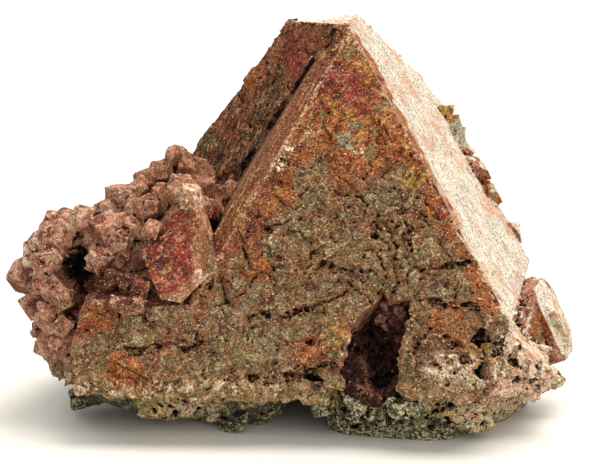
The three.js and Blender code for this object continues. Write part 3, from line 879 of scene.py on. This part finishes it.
# %% Where the colours of the crystals lie
RUBY = [((7.5, -1.0, 52.5), 5.5, 0.7), ((11.0, -3.5, 49.0), 4.0, 0.5), ((-10.8, -14.8, 27.7), 3.0, 0.6),
        ((0.0, 8.0, 56.5), 6.5, 0.6), ((-17.2, -15.0, 31.0), 4.5, 0.7), ((-20.0, -17.5, 26.0), 6.5, 1.3),
        ((-32.2, -20.5, 16.0), 3.5, 0.5), ((-12.8, -9.0, 31.0), 2.5, 0.6),
        ((23.5, -13.8, 33.5), 2.5, 0.6), ((-12.6, -7.0, 31.5), 2.5, 0.8), ((-5.0, -10.6, 36.0), 2.5, 0.5)]
RUST = [((-6.5, 13.0, 51.5), 4.5, 0.7), ((-12.0, 13.0, 43.0), 4.5, 0.5), ((8.5, -1.5, 52.0), 10.0, 1.0),
        ((3.0, -4.5, 46.6), 9.0, 0.8), ((14.0, -6.0, 45.0), 9.0, 0.9), ((33.1, 13.4, 31.9), 4.5, 1.0),
        ((8.0, 18.0, 38.0), 9.0, 0.6), ((-22.0, 6.0, 27.0), 8.0, 0.5), ((21.0, 20.0, 27.0), 8.0, 0.5),
        ((9.5, -9.9, 39.4), 6.0, 0.6), ((-1.3, -6.9, 42.2), 6.0, 0.7), ((-4.0, -10.5, 36.5), 7.0, 0.8),
        ((-8.5, -14.0, 30.5), 5.5, 1.0), ((23.5, -13.5, 33.5), 4.0, 0.8), ((-5.0, -17.0, 25.0), 4.0, 0.6),
        ((-25.5, -24.4, 11.0), 4.5, 1.0), ((-29.5, -18.5, 18.0), 5.0, 0.7), ((8.3, -23.3, 17.4), 3.0, 0.5),
        ((3.0, -18.5, 24.0), 6.0, 0.3), ((24.0, -24.0, 19.0), 6.0, 0.45), ((31.0, -22.5, 22.0), 4.0, 0.9),
        ((13.0, -14.5, 31.0), 5.0, 0.3), ((39.5, -10.5, 14.0), 3.5, 1.0), ((3.0, -23.8, 13.5), 4.0, 0.7)]
PINK = [((-34.0, -6.0, 20.0), 22.0, 0.7), ((38.0, -12.0, 12.0), 12.0, 0.5), ((21.0, -28.0, 12.5), 6.0, 0.7)]
CREAM = [
    ((36.0, -20.0, 10.5), 10.0, 1.0), ((32.0, -23.0, 15.0), 5.0, 0.8), ((43.0, -5.0, 13.0), 7.0, 0.8),
    ((21.0, -27.0, 13.0), 5.5, 0.25), ((33.5, -24.5, 8.0), 7.0, 0.7), ((30.0, -28.0, 12.0), 6.0, 0.4),
    ((-13.0, -19.0, 24.0), 3.5, 0.5), ((-15.6, -12.5, 35.8), 4.5, 0.42), ((24.0, -28.5, 11.0), 6.0, 0.35),
    ((-28.0, -6.0, 33.0), 6.0, 0.3), ((-41.0, -10.0, 26.0), 5.0, 0.45), ((-39.5, -12.0, 20.5), 5.0, 0.35),
    ((38.0, -17.0, 12.5), 6.0, 0.5),
]
OCHRE = [
    ((19.0, -10.8, 38.2), 3.5, 0.9), ((27.1, 20.0, 44.2), 2.6, 1.0), ((8.0, -23.6, 16.5), 4.0, 0.55),
    ((-18.8, -2.5, 39.0), 5.0, 0.35), ((30.0, -27.0, 14.0), 6.0, 0.6), ((-8.0, -13.0, 32.0), 3.5, 0.6),
    ((-12.5, -21.0, 22.0), 4.0, 0.5), ((21.0, -29.0, 11.0), 6.0, 0.4), ((9.0, -3.0, 49.5), 6.5, 0.6),
    ((4.0, -25.0, 12.0), 5.0, 0.45),
]
GREY = [((29.2, 18.4, 40.6), 4.0, 1.0), ((8.2, -7.4, 43.4), 3.2, 0.6), ((43.6, -6.5, 13.0), 6.0, 0.5)]
# Dark brown zones: partly a brown stain, partly painted shade under the deep red crystal and beside the heap's
# dark hole.
UMBER_AND_SHADE = [((-26.6, -16.6, 22.6), 7.0, 1.0), ((-31.5, -14.0, 21.5), 5.0, 0.6), ((-22.0, -18.5, 21.0), 3.5, 0.8),
         ((-8.5, -13.0, 32.0), 5.0, 0.9), ((-4.0, -8.5, 38.5), 4.0, 0.7), ((0.0, -4.5, 45.5), 3.0, 0.5),
         ((21.5, -26.5, 14.5), 6.5, 0.42), ((-33.5, -12.0, 22.0), 6.5, 0.5)]
# Painted shade: near-black zones in the dark holes of the heap and the hollows at the foot.
CAVE_SHADE = [((-33.6, -9.0, 24.2), 4.6, 1.0), ((-12.2, -7.4, 29.3), 3.6, 1.0), ((28.8, -24.2, 16.0), 2.2, 0.7),
         ((29.4, -26.4, 12.0), 2.2, 0.7), ((3.6, -24.6, 10.4), 2.6, 0.8), ((12.0, -18.6, 17.9), 3.4, 0.5)]
# Painted highlights: pale specks that stand in for glints on the red crystal and the upper faces.
PAINTED_GLINTS = [
    ((-17.5, -16.8, 28.0), 4.0, 0.45), ((1.0, 2.0, 52.0), 4.0, 0.5), ((3.3, -5.5, 45.2), 2.0, 0.8),
    ((-0.7, -7.0, 42.2), 2.2, 1.0), ((-2.3, -8.6, 40.1), 2.2, 1.0), ((10.5, -8.4, 42.1), 1.6, 0.9),
    ((-3.0, -15.3, 29.4), 1.6, 0.7), ((1.0, -13.7, 32.6), 3.0, 0.5),
]
# how far the painted shade of the groove reaches from its line
GROOVE_SHADE_WIDTH = 0.9  # mm
HEAP_EDGE = (-14.5, -12.5)
HEAP_FOOT = (19.5, 21.5)


def keep_colours(piece):
    """One attribute for each colour, nought where it never lies and one where it always does."""
    spots, outward = places(piece), normals(piece)
    in_heap = (1 - smooth(spots[:, 0], *HEAP_EDGE)) * smooth(spots[:, 2], *HEAP_FOOT)
    front = on_face(spots, outward, "front", 2.0, 0.5) * (1 - in_heap)
    right = on_face(spots, outward, "right", 2.0, 0.5)
    rear = on_face(spots, outward, "rear_front", 2.0, 0.5)
    strip = on_face(spots, outward, "strip", 1.0, 0.3)
    top = on_face(spots, outward, "top", 1.0, 0.3)
    behind = looks_back(spots, outward)
    faces = np.clip(front + right + rear + strip + top + behind, 0, 1)
    # each pair of numbers says where a mask starts to change and where it is done, in millimetres
    from_ridge = np.abs(spots @ looks(*FACES["right"]) - reach["right"])
    from_front = np.abs(spots @ looks(*FACES["front"]) - reach["front"])
    rust = patches(spots, RUST)
    rust += 0.75 * front * (1 - smooth(from_ridge, 0.4, 3.6)) * smooth(spots[:, 2], 20, 24)
    rust += 1.3 * right * (1 - smooth(from_front, 0.3, 5.0)) * smooth(spots[:, 2], 20, 40)
    pink = (1 - faces) * (0.45 + patches(spots, PINK))
    low_front = smooth(-spots[:, 2], -13.0, -8.0) * smooth(-spots[:, 1], 10.0, 16.0)
    # painted highlight: pale lines where the front meets the right face and the strip
    ridge_highlight = 0.5 * front * (1 - smooth(from_ridge, 0.3, 1.8))
    edge_highlights = 0.7 * near_both(spots, "front", "strip") + 0.7 * near_both(spots, "front", "right")
    kept = {
        "ruby": patches(spots, RUBY),
        "rust": rust * (1 - 0.5 * right),
        "film": (front + 0.8 * behind) * (1 - 0.85 * np.clip(rust, 0, 1)),
        # chalky bloom and painted light on the right face and the top, which face the lamps
        "chalk_and_light": right + 0.8 * top,
        "pink": pink,
        "calm": np.clip(pink, 0, 1) + right,
        "cream": patches(spots, CREAM) * (1 - front * smooth(spots[:, 2], 14.0, 18.0)),
        "ochre": patches(spots, OCHRE),
        # painted glints
        "painted_glints": patches(spots, PAINTED_GLINTS),
        "shade": rear,
        "earth": low_front * (1 - 0.75 * smooth(spots[:, 0], 24.0, 30.0)),
        "grey": patches(spots, GREY),
        "umber_and_shade": patches(spots, UMBER_AND_SHADE),
        # painted shade in the dark holes
        "cave_shade": patches(spots, CAVE_SHADE),
        "edges": edge_highlights + ridge_highlight,
        # painted shade along the groove between the two large crystals
        "groove": near_lines(spots, GROOVE, GROOVE_SHADE_WIDTH),
        "growth": strip,
    }
    for name, value in kept.items():
        keep_attribute(piece, name, value)


keep_hollows(crystals)
keep_colours(crystals)
print("colours kept:", ", ".join(a.name for a in crystals.data.attributes if a.data_type == "FLOAT"))

# %% Cut the skin into three pieces
# The skin is finer than one mesh should be, so two upright cuts part it, which meet exactly inside the
# stone. The cuts are filled, apart from one outline: the largest one of large_crystals at its right cut
# stays open. The filled cut of crumbly_side lies against it, so nothing shows outside.
LEFT_CUT = -14.5
RIGHT_CUT = 12.5
SPANS = {
    "heap_side": (None, LEFT_CUT),
    "large_crystals": (LEFT_CUT, RIGHT_CUT),
    "crumbly_side": (RIGHT_CUT, None),
}
SAME_POINT = 1e-7  # metres


def cut_off(piece, x, side):
    """Take away what lies past x, on the right for side 1 and on the left for -1, and fill what it can."""
    select_only(piece)
    bpy.ops.object.mode_set(mode="EDIT")
    bpy.ops.mesh.select_all(action="SELECT")
    bpy.ops.mesh.bisect(
        plane_co=(x * MM, 0, 0),
        plane_no=(side, 0, 0),
        use_fill=True,
        clear_outer=True,
        threshold=SAME_POINT,
    )
    bpy.ops.object.mode_set(mode="OBJECT")


parts = {}
for name, (low, high) in SPANS.items():
    part = linked(name, crystals.data.copy())
    part.data.name = name
    if low is not None:
        cut_off(part, low, -1)
    if high is not None:
        cut_off(part, high, 1)
    parts[name] = part
    print(name, "has", triangles(part), "triangles")
bpy.data.objects.remove(crystals)

# %% [markdown]
# ## The rock
#
# The rock under the crystals is a mass of fine grains. Chips strewn over it and pressed in make its broken
# outline, and a cell pattern makes the grains. Its underside stays flat where it stands. Two places at the
# left are worn smooth, and there the relief is held back.

# %% Rock
ROCK_CHIPS = 700
ROCK_STEP = 0.34 * MM
ROCK_WANTED = 190_000
rock = merged_copy("matrix_rock", "matrix_rock_skin")
SMOOTH_SKIN = [((-27.0, -16.5, 3.5), 9.0, 1.0), ((-8.0, -22.0, 4.0), 5.0, 1.0)]


def is_open_rock(spot, outward):
    return spot.z > 1.5 and (spot.y < -12 or spot.x < -20 or spot.x > 20 or spot.y > 5) and outward.z > -0.9


rock_chips = strewn([chip, block], rock, ROCK_CHIPS, (0.35, 1.2), is_open_rock, seed=8, sink=0.3)
joined(rock, rock_chips)
modify(rock, "REMESH", mode="VOXEL", voxel_size=ROCK_STEP)
spots = places(rock)
standing = 1 - smooth(spots[:, 2], 0.4, 1.6)
worn = np.clip(patches(spots, SMOOTH_SKIN), 0, 0.85)
keep_group(rock, "open", (1 - standing) * (1 - worn))
relief(rock, texture("VORONOI", 1.3), 0.6, "open", mid=0.3)
relief(rock, texture("CLOUDS", 2.0, ramp=(0.55, 0.66), noise_depth=3), -1.0, "open", mid=0)
relief(rock, dust, 0.4, "open")
keep_inside(rock)
thin_out(rock, ROCK_WANTED)
keep_hollows(rock)

# %% Where the colours of the rock lie
TAN = [((-20.0, -23.0, 6.0), 13.0, 1.0), ((-6.0, -25.0, 6.5), 6.0, 0.8), ((12.0, -27.0, 8.0), 5.0, 0.7),
       ((24.0, -28.0, 7.5), 6.0, 0.8)]
OLIVE = [((-24.0, -21.0, 6.0), 7.0, 0.8), ((8.0, -25.0, 6.5), 4.0, 0.6), ((20.0, -28.0, 7.5), 7.0, 0.5)]
PALE = [((-16.4, -22.5, 5.6), 5.0, 1.0), ((-13.5, -20.5, 3.0), 3.5, 0.8), ((38.0, -18.0, 6.0), 12.0, 1.2),
        ((30.0, -26.0, 5.0), 7.0, 0.9)]
spots = places(rock)
for name, zones in {"tan": TAN, "olive": OLIVE, "pale": PALE, "worn": SMOOTH_SKIN}.items():
    keep_attribute(rock, name, patches(spots, zones))
print("the rock has", triangles(rock), "triangles")

# %% [markdown]
# ## The crust in the hollow
#
# The hollow is lined with tiny crystals. They are the same three models, grown on the imported crust. Light
# falls on them at the top of the hollow and at its sill, so there they are painted lighter as painted light,
# with pale dust at the top and a warmer red at the sill.

# %% Crust
CRUST_GRAINS = 800
CRUST_STEP = 0.2 * MM
# Painted light: paler zones at the top of the hollow, partly pale dust, and warmer ones at its sill.
DUST_AND_LIGHT = [((14.6, -20.0, 18.8), 4.4, 1.0), ((11.0, -22.0, 15.6), 3.2, 0.35)]
WARM_LIGHT = [((11.5, -25.5, 8.0), 4.0, 0.8)]
crust = merged_copy("cavity_crust", "cavity_crust_skin")


def anywhere(spot, outward):
    return True


crust_grains = strewn(CRYSTAL_MODELS, crust, CRUST_GRAINS, (0.35, 1.3), anywhere, seed=12)
joined(crust, crust_grains)
modify(crust, "REMESH", mode="VOXEL", voxel_size=CRUST_STEP)
relief(crust, dust, 0.25)
keep_hollows(crust)
spots = places(crust)
keep_attribute(crust, "dust_and_light", patches(spots, DUST_AND_LIGHT))
keep_attribute(crust, "warm_light", patches(spots, WARM_LIGHT))
print("the crust has", triangles(crust), "triangles")

# %% [markdown]
# ## The look of the stone
#
# One recipe makes all three stones. Over a base colour lie coats, one by one: each has a colour and a noise
# that breaks it up, and most follow a mask from the mesh. Real stone is made of grains that each face their
# own way, so a cell pattern a quarter of a millimetre wide changes the tone, the gloss and the slant of
# every grain. Real grit is finer still; it is drawn this coarse so that it shows.


# %% Colours and nodes
def linear(code):
    """An sRGB hex code as linear red, green, blue and alpha."""
    channels = [int(code[i : i + 2], 16) / 255 for i in (1, 3, 5)]
    return [c / 12.92 if c <= 0.04045 else ((c + 0.055) / 1.055) ** 2.4 for c in channels] + [1]


def add(tree, kind, inputs=None, **settings):
    """A new node. An input is linked when its value is a socket and set when it is a number."""
    made = tree.nodes.new(kind)
    for key, value in settings.items():
        setattr(made, key, value)
    for key, value in (inputs or {}).items():
        if isinstance(value, bpy.types.NodeSocket):
            tree.links.new(value, made.inputs[key])
        else:
            made.inputs[key].default_value = value
    return made


# each run of a pattern has its turn and how far it is drawn out
RUNS = {"any": ((0, 0, 0), 1), "cells": ((0, 0, 0), 1), "ridge": (RIDGE_TURN, 7), "edge": (EDGE_TURN, 12)}
GRAIN = 0.26  # mm
BUMP_GRAIN = 0.18  # mm
BUMP_HEIGHT = 0.05  # mm
CALM_SHARE = 0.55  # of the contrast that is left where a face is calm
POLISHED_SHARE = 0.5  # of the roughness that is left where a face is polished
SPECULAR = (0.05, 0.15)  # on a plain face and on a polished one


def pattern_space(tree, where, size, run="any", shift=0):
    """Object coordinates in which one unit is the given size in millimetres, drawn out along the run."""
    turn, stretch = RUNS[run]
    scale = (size * stretch * MM, size * MM, size * MM)
    settings = {"Vector": where, "Location": (shift, 0, 0), "Rotation": turn, "Scale": scale}
    return add(tree, "ShaderNodeMapping", settings, vector_type="TEXTURE").outputs[0]


def coat_share(tree, where, number, attribute, amount, size, run, breakup, low, high):
    """How much of a coat lies at each point: amount and noise, times the mask, cut between low and high."""
    space = pattern_space(tree, where, size, run, 0.07 * number)
    if run == "cells":
        cells = add(tree, "ShaderNodeTexVoronoi", {"Vector": space, "Scale": 1.0}).outputs["Color"]
        noise = add(tree, "ShaderNodeMath", {0: cells, 1: 0.5}, operation="SUBTRACT").outputs[0]
    else:
        settings = {"Vector": space, "Scale": 1.0, "Detail": 5.0, "Roughness": 0.6}
        noise = add(tree, "ShaderNodeTexNoise", settings, normalize=False).outputs[0]
    broken = {0: noise, 1: breakup, 2: amount}
    level = add(tree, "ShaderNodeMath", broken, operation="MULTIPLY_ADD").outputs[0]
    if attribute:
        mask = add(tree, "ShaderNodeAttribute", attribute_name=attribute).outputs["Fac"]
        level = add(tree, "ShaderNodeMath", {0: level, 1: mask}, operation="MULTIPLY").outputs[0]
    ends = {"Value": level, "From Min": low, "From Max": high}
    return add(tree, "ShaderNodeMapRange", ends, interpolation_type="SMOOTHSTEP").outputs[0]


def stone(name, base, coats, dullness, contrast, slant, refraction, gloss_mask, calm_mask):
    """Coats over a base, in grains that differ in tone (contrast), tilt (slant) and roughness (dullness)."""
    material = bpy.data.materials.new(name)
    material.use_nodes = True
    tree = material.node_tree
    shader = tree.nodes["Principled BSDF"]
    where = add(tree, "ShaderNodeTexCoord").outputs["Object"]

    colour = linear(base)
    for number, (code, *rule) in enumerate(coats):
        share = coat_share(tree, where, number, *rule)
        mixed = {0: share, 6: colour, 7: linear(code)}
        colour = add(tree, "ShaderNodeMix", mixed, data_type="RGBA").outputs[2]

    cells = add(tree, "ShaderNodeTexVoronoi", {"Vector": pattern_space(tree, where, GRAIN), "Scale": 1.0})
    chance = add(tree, "ShaderNodeSeparateColor", {0: cells.outputs["Color"]})
    calm = add(tree, "ShaderNodeAttribute", attribute_name=calm_mask).outputs["Fac"]
    calm = {"Value": calm, "To Min": contrast, "To Max": CALM_SHARE * contrast}
    spread = add(tree, "ShaderNodeMapRange", calm).outputs[0]
    either_way = {"Value": chance.outputs[0], "To Min": -1.0, "To Max": 1.0}
    either_way = add(tree, "ShaderNodeMapRange", either_way).outputs[0]
    tone = {0: either_way, 1: spread, 2: 1.0}
    tone = add(tree, "ShaderNodeMath", tone, operation="MULTIPLY_ADD").outputs[0]
    shaded = add(tree, "ShaderNodeVectorMath", {0: colour, 3: tone}, operation="SCALE")
    tree.links.new(shaded.outputs[0], shader.inputs["Base Color"])

    space = pattern_space(tree, where, BUMP_GRAIN)
    fine = add(tree, "ShaderNodeTexNoise", {"Vector": space, "Scale": 1.0, "Detail": 3.0}, normalize=False)
    height = {"Height": fine.outputs[0], "Distance": BUMP_HEIGHT * MM}
    bumped = add(tree, "ShaderNodeBump", height).outputs[0]
    tilted = {0: cells.outputs["Color"], 1: (slant, slant, slant), 2: bumped}
    tilted = add(tree, "ShaderNodeVectorMath", tilted, operation="MULTIPLY_ADD").outputs[0]
    centred = {0: tilted, 1: (slant / 2, slant / 2, slant / 2)}
    centred = add(tree, "ShaderNodeVectorMath", centred, operation="SUBTRACT").outputs[0]
    facing = add(tree, "ShaderNodeVectorMath", {0: centred}, operation="NORMALIZE").outputs[0]
    tree.links.new(facing, shader.inputs["Normal"])

    gloss = add(tree, "ShaderNodeAttribute", attribute_name=gloss_mask).outputs["Fac"]
    dull = {"Value": chance.outputs[1], "To Min": dullness[0], "To Max": dullness[1]}
    dull = add(tree, "ShaderNodeMapRange", dull).outputs[0]
    polish = {"Value": gloss, "To Min": 1.0, "To Max": POLISHED_SHARE}
    polish = add(tree, "ShaderNodeMapRange", polish).outputs[0]
    rough = add(tree, "ShaderNodeMath", {0: dull, 1: polish}, operation="MULTIPLY").outputs[0]
    tree.links.new(rough, shader.inputs["Roughness"])
    shine = {"Value": gloss, "To Min": SPECULAR[0], "To Max": SPECULAR[1]}
    shine = add(tree, "ShaderNodeMapRange", shine).outputs[0]
    tree.links.new(shine, shader.inputs["Specular IOR Level"])
    shader.inputs["IOR"].default_value = refraction
    return material


# %% [markdown]
# ## Weathered spinel
#
# Spinel is a hard oxide that breaks light strongly, 1.72, and a clean crystal is deep red and glassy. Here it
# shows that only in a few places. Elsewhere a thin film of clay and iron rust makes it dull, so most grains
# are rough and a few glint. The front is olive tan and the small crystals are pinkish brown. The right face
# and the top are pale cream, partly a chalky bloom and partly painted light, as they face the lamps. Pale
# specks and lines along the front's edges are painted highlights, and the hollows, holes and groove are
# painted dark as shade.

# %% Weathered spinel
SPINEL_COATS = [
    # colour, mask, amount, patch size in mm, run, break-up, from, to
    ("#583420", None, 0.0, 3.2, "any", 1.0, 0.0, 0.6),
    ("#946a42", None, 0.0, 2.0, "any", 1.0, 0.1, 0.7),
    ("#6e3c28", "shade", 1.0, 2.2, "edge", 0.8, 0.3, 0.8),
    ("#54432c", "shade", 0.45, 4.0, "edge", 1.2, 0.35, 0.8),
    ("#3c1c12", "shade", 0.35, 1.0, "edge", 1.2, 0.4, 0.8),
    ("#a8704e", "shade", 0.2, 0.5, "edge", 1.2, 0.45, 0.85),
    ("#745638", "film", 0.8, 2.6, "any", 0.8, 0.25, 0.75),
    ("#68593e", "film", 0.5, 3.6, "any", 1.1, 0.35, 0.85),
    ("#826a4a", "film", 0.35, 1.2, "any", 1.2, 0.45, 0.9),
    ("#70402a", "film", 0.2, 1.8, "any", 1.2, 0.45, 0.9),
    ("#54382a", "film", 0.1, 2.4, "any", 1.2, 0.35, 0.85),
    ("#8e7c5a", "film", 0.25, 2.0, "any", 1.2, 0.4, 1.1),
    ("#a8755c", "pink", 1.0, 1.8, "any", 0.8, 0.2, 0.7),
    ("#744234", "pink", 0.45, 1.4, "any", 1.1, 0.35, 0.8),
    ("#b8937c", "pink", 0.4, 1.6, "any", 1.2, 0.4, 0.9),
    ("#703628", "pink", 0.35, 2.4, "cells", 1.0, 0.4, 0.7),
    ("#c8ae98", "pink", 0.15, 2.1, "cells", 1.0, 0.35, 0.7),
    ("#8c4a36", "pink", 0.2, 1.5, "cells", 1.0, 0.4, 0.7),
    # chalky bloom and painted light on the right face and the top
    ("#cabfae", "chalk_and_light", 1.2, 1.6, "ridge", 0.8, 0.3, 0.8),
    ("#c49678", "chalk_and_light", 0.4, 5.5, "any", 1.2, 0.2, 1.2),
    ("#a8a092", "chalk_and_light", 0.3, 0.7, "ridge", 1.2, 0.4, 0.9),
    ("#86664e", "chalk_and_light", 0.1, 0.4, "any", 1.2, 0.5, 0.85),
    ("#ccb69a", "cream", 1.1, 1.2, "any", 1.0, 0.3, 0.7),
    ("#b88a70", "cream", 0.4, 1.6, "any", 1.2, 0.35, 0.8),
    ("#927450", "earth", 0.8, 1.6, "any", 1.1, 0.3, 0.8),
    ("#66562f", "earth", 0.35, 2.2, "any", 1.2, 0.4, 0.9),
    ("#c0a88c", "earth", 0.3, 1.4, "any", 1.2, 0.4, 0.9),
    ("#8e502a", "rust", 1.0, 2.4, "any", 0.8, 0.25, 0.8),
    ("#642a18", "rust", 0.45, 1.4, "any", 1.2, 0.4, 0.9),
    ("#a87440", "rust", 0.35, 1.8, "any", 1.2, 0.45, 0.95),
    ("#786a48", "rust", 0.15, 2.8, "any", 1.2, 0.45, 0.9),
    # brown stain and painted shade
    ("#5a3022", "umber_and_shade", 1.0, 1.8, "any", 0.9, 0.25, 0.75),
    ("#744028", "growth", 1.1, 0.6, "edge", 0.9, 0.3, 0.7),
    ("#a07a4c", "growth", 0.25, 0.5, "edge", 1.2, 0.4, 0.9),
    ("#a8803c", "ochre", 0.8, 1.2, "any", 1.1, 0.4, 0.9),
    ("#7a2c18", "ruby", 1.1, 2.0, "any", 0.8, 0.2, 0.8),
    ("#420f0a", "ruby", 0.55, 1.6, "any", 1.3, 0.35, 0.9),
    ("#9a2a18", "ruby", 0.4, 2.4, "any", 1.2, 0.4, 0.9),
    ("#a8704a", "ruby", 0.3, 0.8, "any", 1.2, 0.45, 0.85),
    ("#c89a74", "ruby", 0.05, 0.7, "cells", 1.0, 0.3, 0.6),
    ("#928c74", "grey", 1.0, 1.6, "any", 0.9, 0.3, 0.8),
    # painted highlight along the edges of the front
    ("#b8946e", "edges", 0.7, 0.8, "any", 1.1, 0.25, 0.8),
    # painted highlights: pale specks as glints
    ("#d8c8a8", "painted_glints", 0.5, 0.5, "any", 1.2, 0.5, 0.75),
    ("#c0a284", "crest", 0.5, 0.5, "any", 0.8, 0.35, 0.9),
    ("#2a170c", None, 0.0, 0.28, "any", 1.0, 0.36, 0.66),
    # painted highlights: fine pale specks all over, in place of glints
    ("#d4bc96", None, 0.0, 0.24, "any", 1.0, 0.48, 0.8),
    # painted shade: near-black in the hollows of the skin
    ("#140a05", "recess_shade", 0.9, 0.5, "any", 0.6, 0.3, 0.9),
    # painted shade: near-black in the dark holes
    ("#0a0503", "cave_shade", 1.1, 1.0, "any", 0.6, 0.25, 0.9),
    # painted shade: a near-black line in the groove between the two large crystals
    ("#180b07", "groove", 1.0, 1.0, "any", 0.5, 0.2, 0.8),
]
weathered_spinel = stone(
    "weathered_spinel",
    base="#7a4a2e",
    coats=SPINEL_COATS,
    dullness=(0.35, 0.95),
    contrast=0.55,
    slant=0.7,
    refraction=1.72,
    gloss_mask="ruby",
    calm_mask="calm",
)
print(weathered_spinel.name, "has", len(SPINEL_COATS), "coats")

# %% [markdown]
# ## Grey-green rock
#
# The matrix is a mass of fine silicate grains, about 1.56, in grey, green and dark specks, broken and never
# polished. It looks dull and peppery, with tan clay along its upper edge and paler grains under the right
# foot.

# %% Grey-green rock
ROCK_COATS = [
    # colour, mask, amount, patch size in mm, run, break-up, from, to
    ("#766c4c", None, 0.0, 3.0, "any", 1.0, 0.0, 0.4),
    ("#2b3226", None, 0.0, 2.2, "any", 1.0, 0.0, 0.4),
    ("#b89a6c", "tan", 1.0, 2.4, "any", 0.9, 0.3, 0.75),
    ("#807036", "olive", 0.8, 1.4, "any", 1.0, 0.35, 0.75),
    ("#b8a47c", "pale", 1.0, 1.6, "any", 0.9, 0.35, 0.75),
    ("#b08a70", "pale", 0.4, 1.4, "any", 1.2, 0.35, 0.8),
    ("#3a3f34", "worn", 0.6, 1.6, "any", 0.8, 0.4, 0.8),
    ("#6a482c", None, 0.0, 1.4, "any", 1.0, 0.35, 0.65),
    ("#a8a080", "crest", 0.6, 0.5, "any", 1.0, 0.35, 0.8),
    ("#15130c", None, 0.0, 0.5, "any", 1.0, 0.3, 0.6),
    ("#c4bc9c", None, 0.0, 0.3, "any", 1.0, 0.4, 0.7),
    # painted shade: near-black in the hollows of the skin
    ("#0f0c07", "recess_shade", 1.0, 0.6, "any", 0.6, 0.25, 0.7),
]
grey_green_rock = stone(
    "grey_green_rock",
    base="#45422e",
    coats=ROCK_COATS,
    dullness=(0.35, 0.95),
    contrast=0.5,
    slant=0.6,
    refraction=1.56,
    gloss_mask="worn",
    calm_mask="worn",
)
print(grey_green_rock.name, "has", len(ROCK_COATS), "coats")

# %% [markdown]
# ## Pink crust
#
# The lining of the hollow is the same spinel in tiny crystals. Little light reaches it, and its colours are
# painted nearly black as shade in its depth, so only crests and the lit, dusty tops show as pinkish brown
# points.

# %% Pink crust
CRUST_COATS = [
    # colour, mask, amount, patch size in mm, run, break-up, from, to
    ("#4a2c20", None, 0.0, 1.5, "any", 1.0, 0.0, 0.5),
    # painted shade: near-black patches in the depth of the hollow
    ("#120906", None, 0.0, 2.4, "any", 1.0, 0.1, 0.4),
    # painted light with pale dust at the top of the hollow
    ("#7a5446", "dust_and_light", 0.6, 1.0, "any", 1.3, 0.35, 0.95),
    # painted light, warmer red, at the sill of the hollow
    ("#7a4e38", "warm_light", 0.8, 1.0, "any", 1.1, 0.2, 0.9),
    ("#a87c62", "crest", 0.5, 0.6, "any", 1.0, 0.35, 0.8),
    # painted shade: near-black in the hollows of the skin
    ("#080503", "recess_shade", 1.2, 0.6, "any", 0.6, 0.15, 0.5),
]
pink_crust = stone(
    "pink_crust",
    # a dark base, partly painted shade of the hollow
    base="#26140e",
    coats=CRUST_COATS,
    dullness=(0.3, 0.9),
    contrast=0.4,
    slant=0.5,
    refraction=1.72,
    gloss_mask="crest",
    calm_mask="crest",
)
print(pink_crust.name, "has", len(CRUST_COATS), "coats")

# %% [markdown]
# ## Dressing the pieces
#
# Each piece gets its stone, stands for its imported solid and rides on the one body. Only edges sharper than
# 55 degrees stay hard, so that grains look round and broken edges crisp. The models and empties have done
# their work.

# %% Dress the pieces
SHARP = math.radians(55)
DRESSED = [
    # piece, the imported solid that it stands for, finish, slot
    (parts["heap_side"], "spinel_crystals", weathered_spinel, "spinel"),
    (parts["large_crystals"], "spinel_crystals", weathered_spinel, "spinel"),
    (parts["crumbly_side"], "spinel_crystals", weathered_spinel, "spinel"),
    (rock, "matrix_rock", grey_green_rock, "matrix"),
    (crust, "cavity_crust", pink_crust, "crust"),
]
for piece, node, finish, slot in DRESSED:
    piece.data.materials.append(finish)
    select_only(piece)
    bpy.ops.object.shade_smooth_by_angle(angle=SHARP)
    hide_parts(node)
    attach(piece, "root")
print("dressed:", ", ".join(piece.name for piece, *_ in DRESSED))
for helper in [*CRYSTAL_MODELS, chip, slab, millimetres, along_ridge, along_edge]:
    bpy.data.objects.remove(helper)

# %% [markdown]
# ## The floor
#
# The specimen stands on plain pale paper, wide enough to fill the picture. Uncoated paper is matt, so it
# takes the soft shadow and mirrors nothing.

# %% Floor
FLOOR_SIDE = 6
bpy.ops.object.select_all(action="DESELECT")
bpy.ops.mesh.primitive_plane_add(size=FLOOR_SIDE)
floor = bpy.context.object
floor.name = "floor"
pale_paper = bpy.data.materials.new("pale_paper")
pale_paper.use_nodes = True
paper = pale_paper.node_tree.nodes["Principled BSDF"].inputs
paper["Base Color"].default_value = linear("#ccc9c1")
paper["Roughness"].default_value = 0.9
floor.data.materials.append(pale_paper)
floor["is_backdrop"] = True
print("the floor is", FLOOR_SIDE, "m wide")

# %% [markdown]
# ## Sizes
#
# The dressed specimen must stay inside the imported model's box, so both boxes are written down side by side.

# %% Sizes
visual_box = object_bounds()
for label, box in {"packed": cad_box, "dressed": visual_box}.items():
    print(label, "box in mm:", [[round(value / MM, 2) for value in corner] for corner in box])
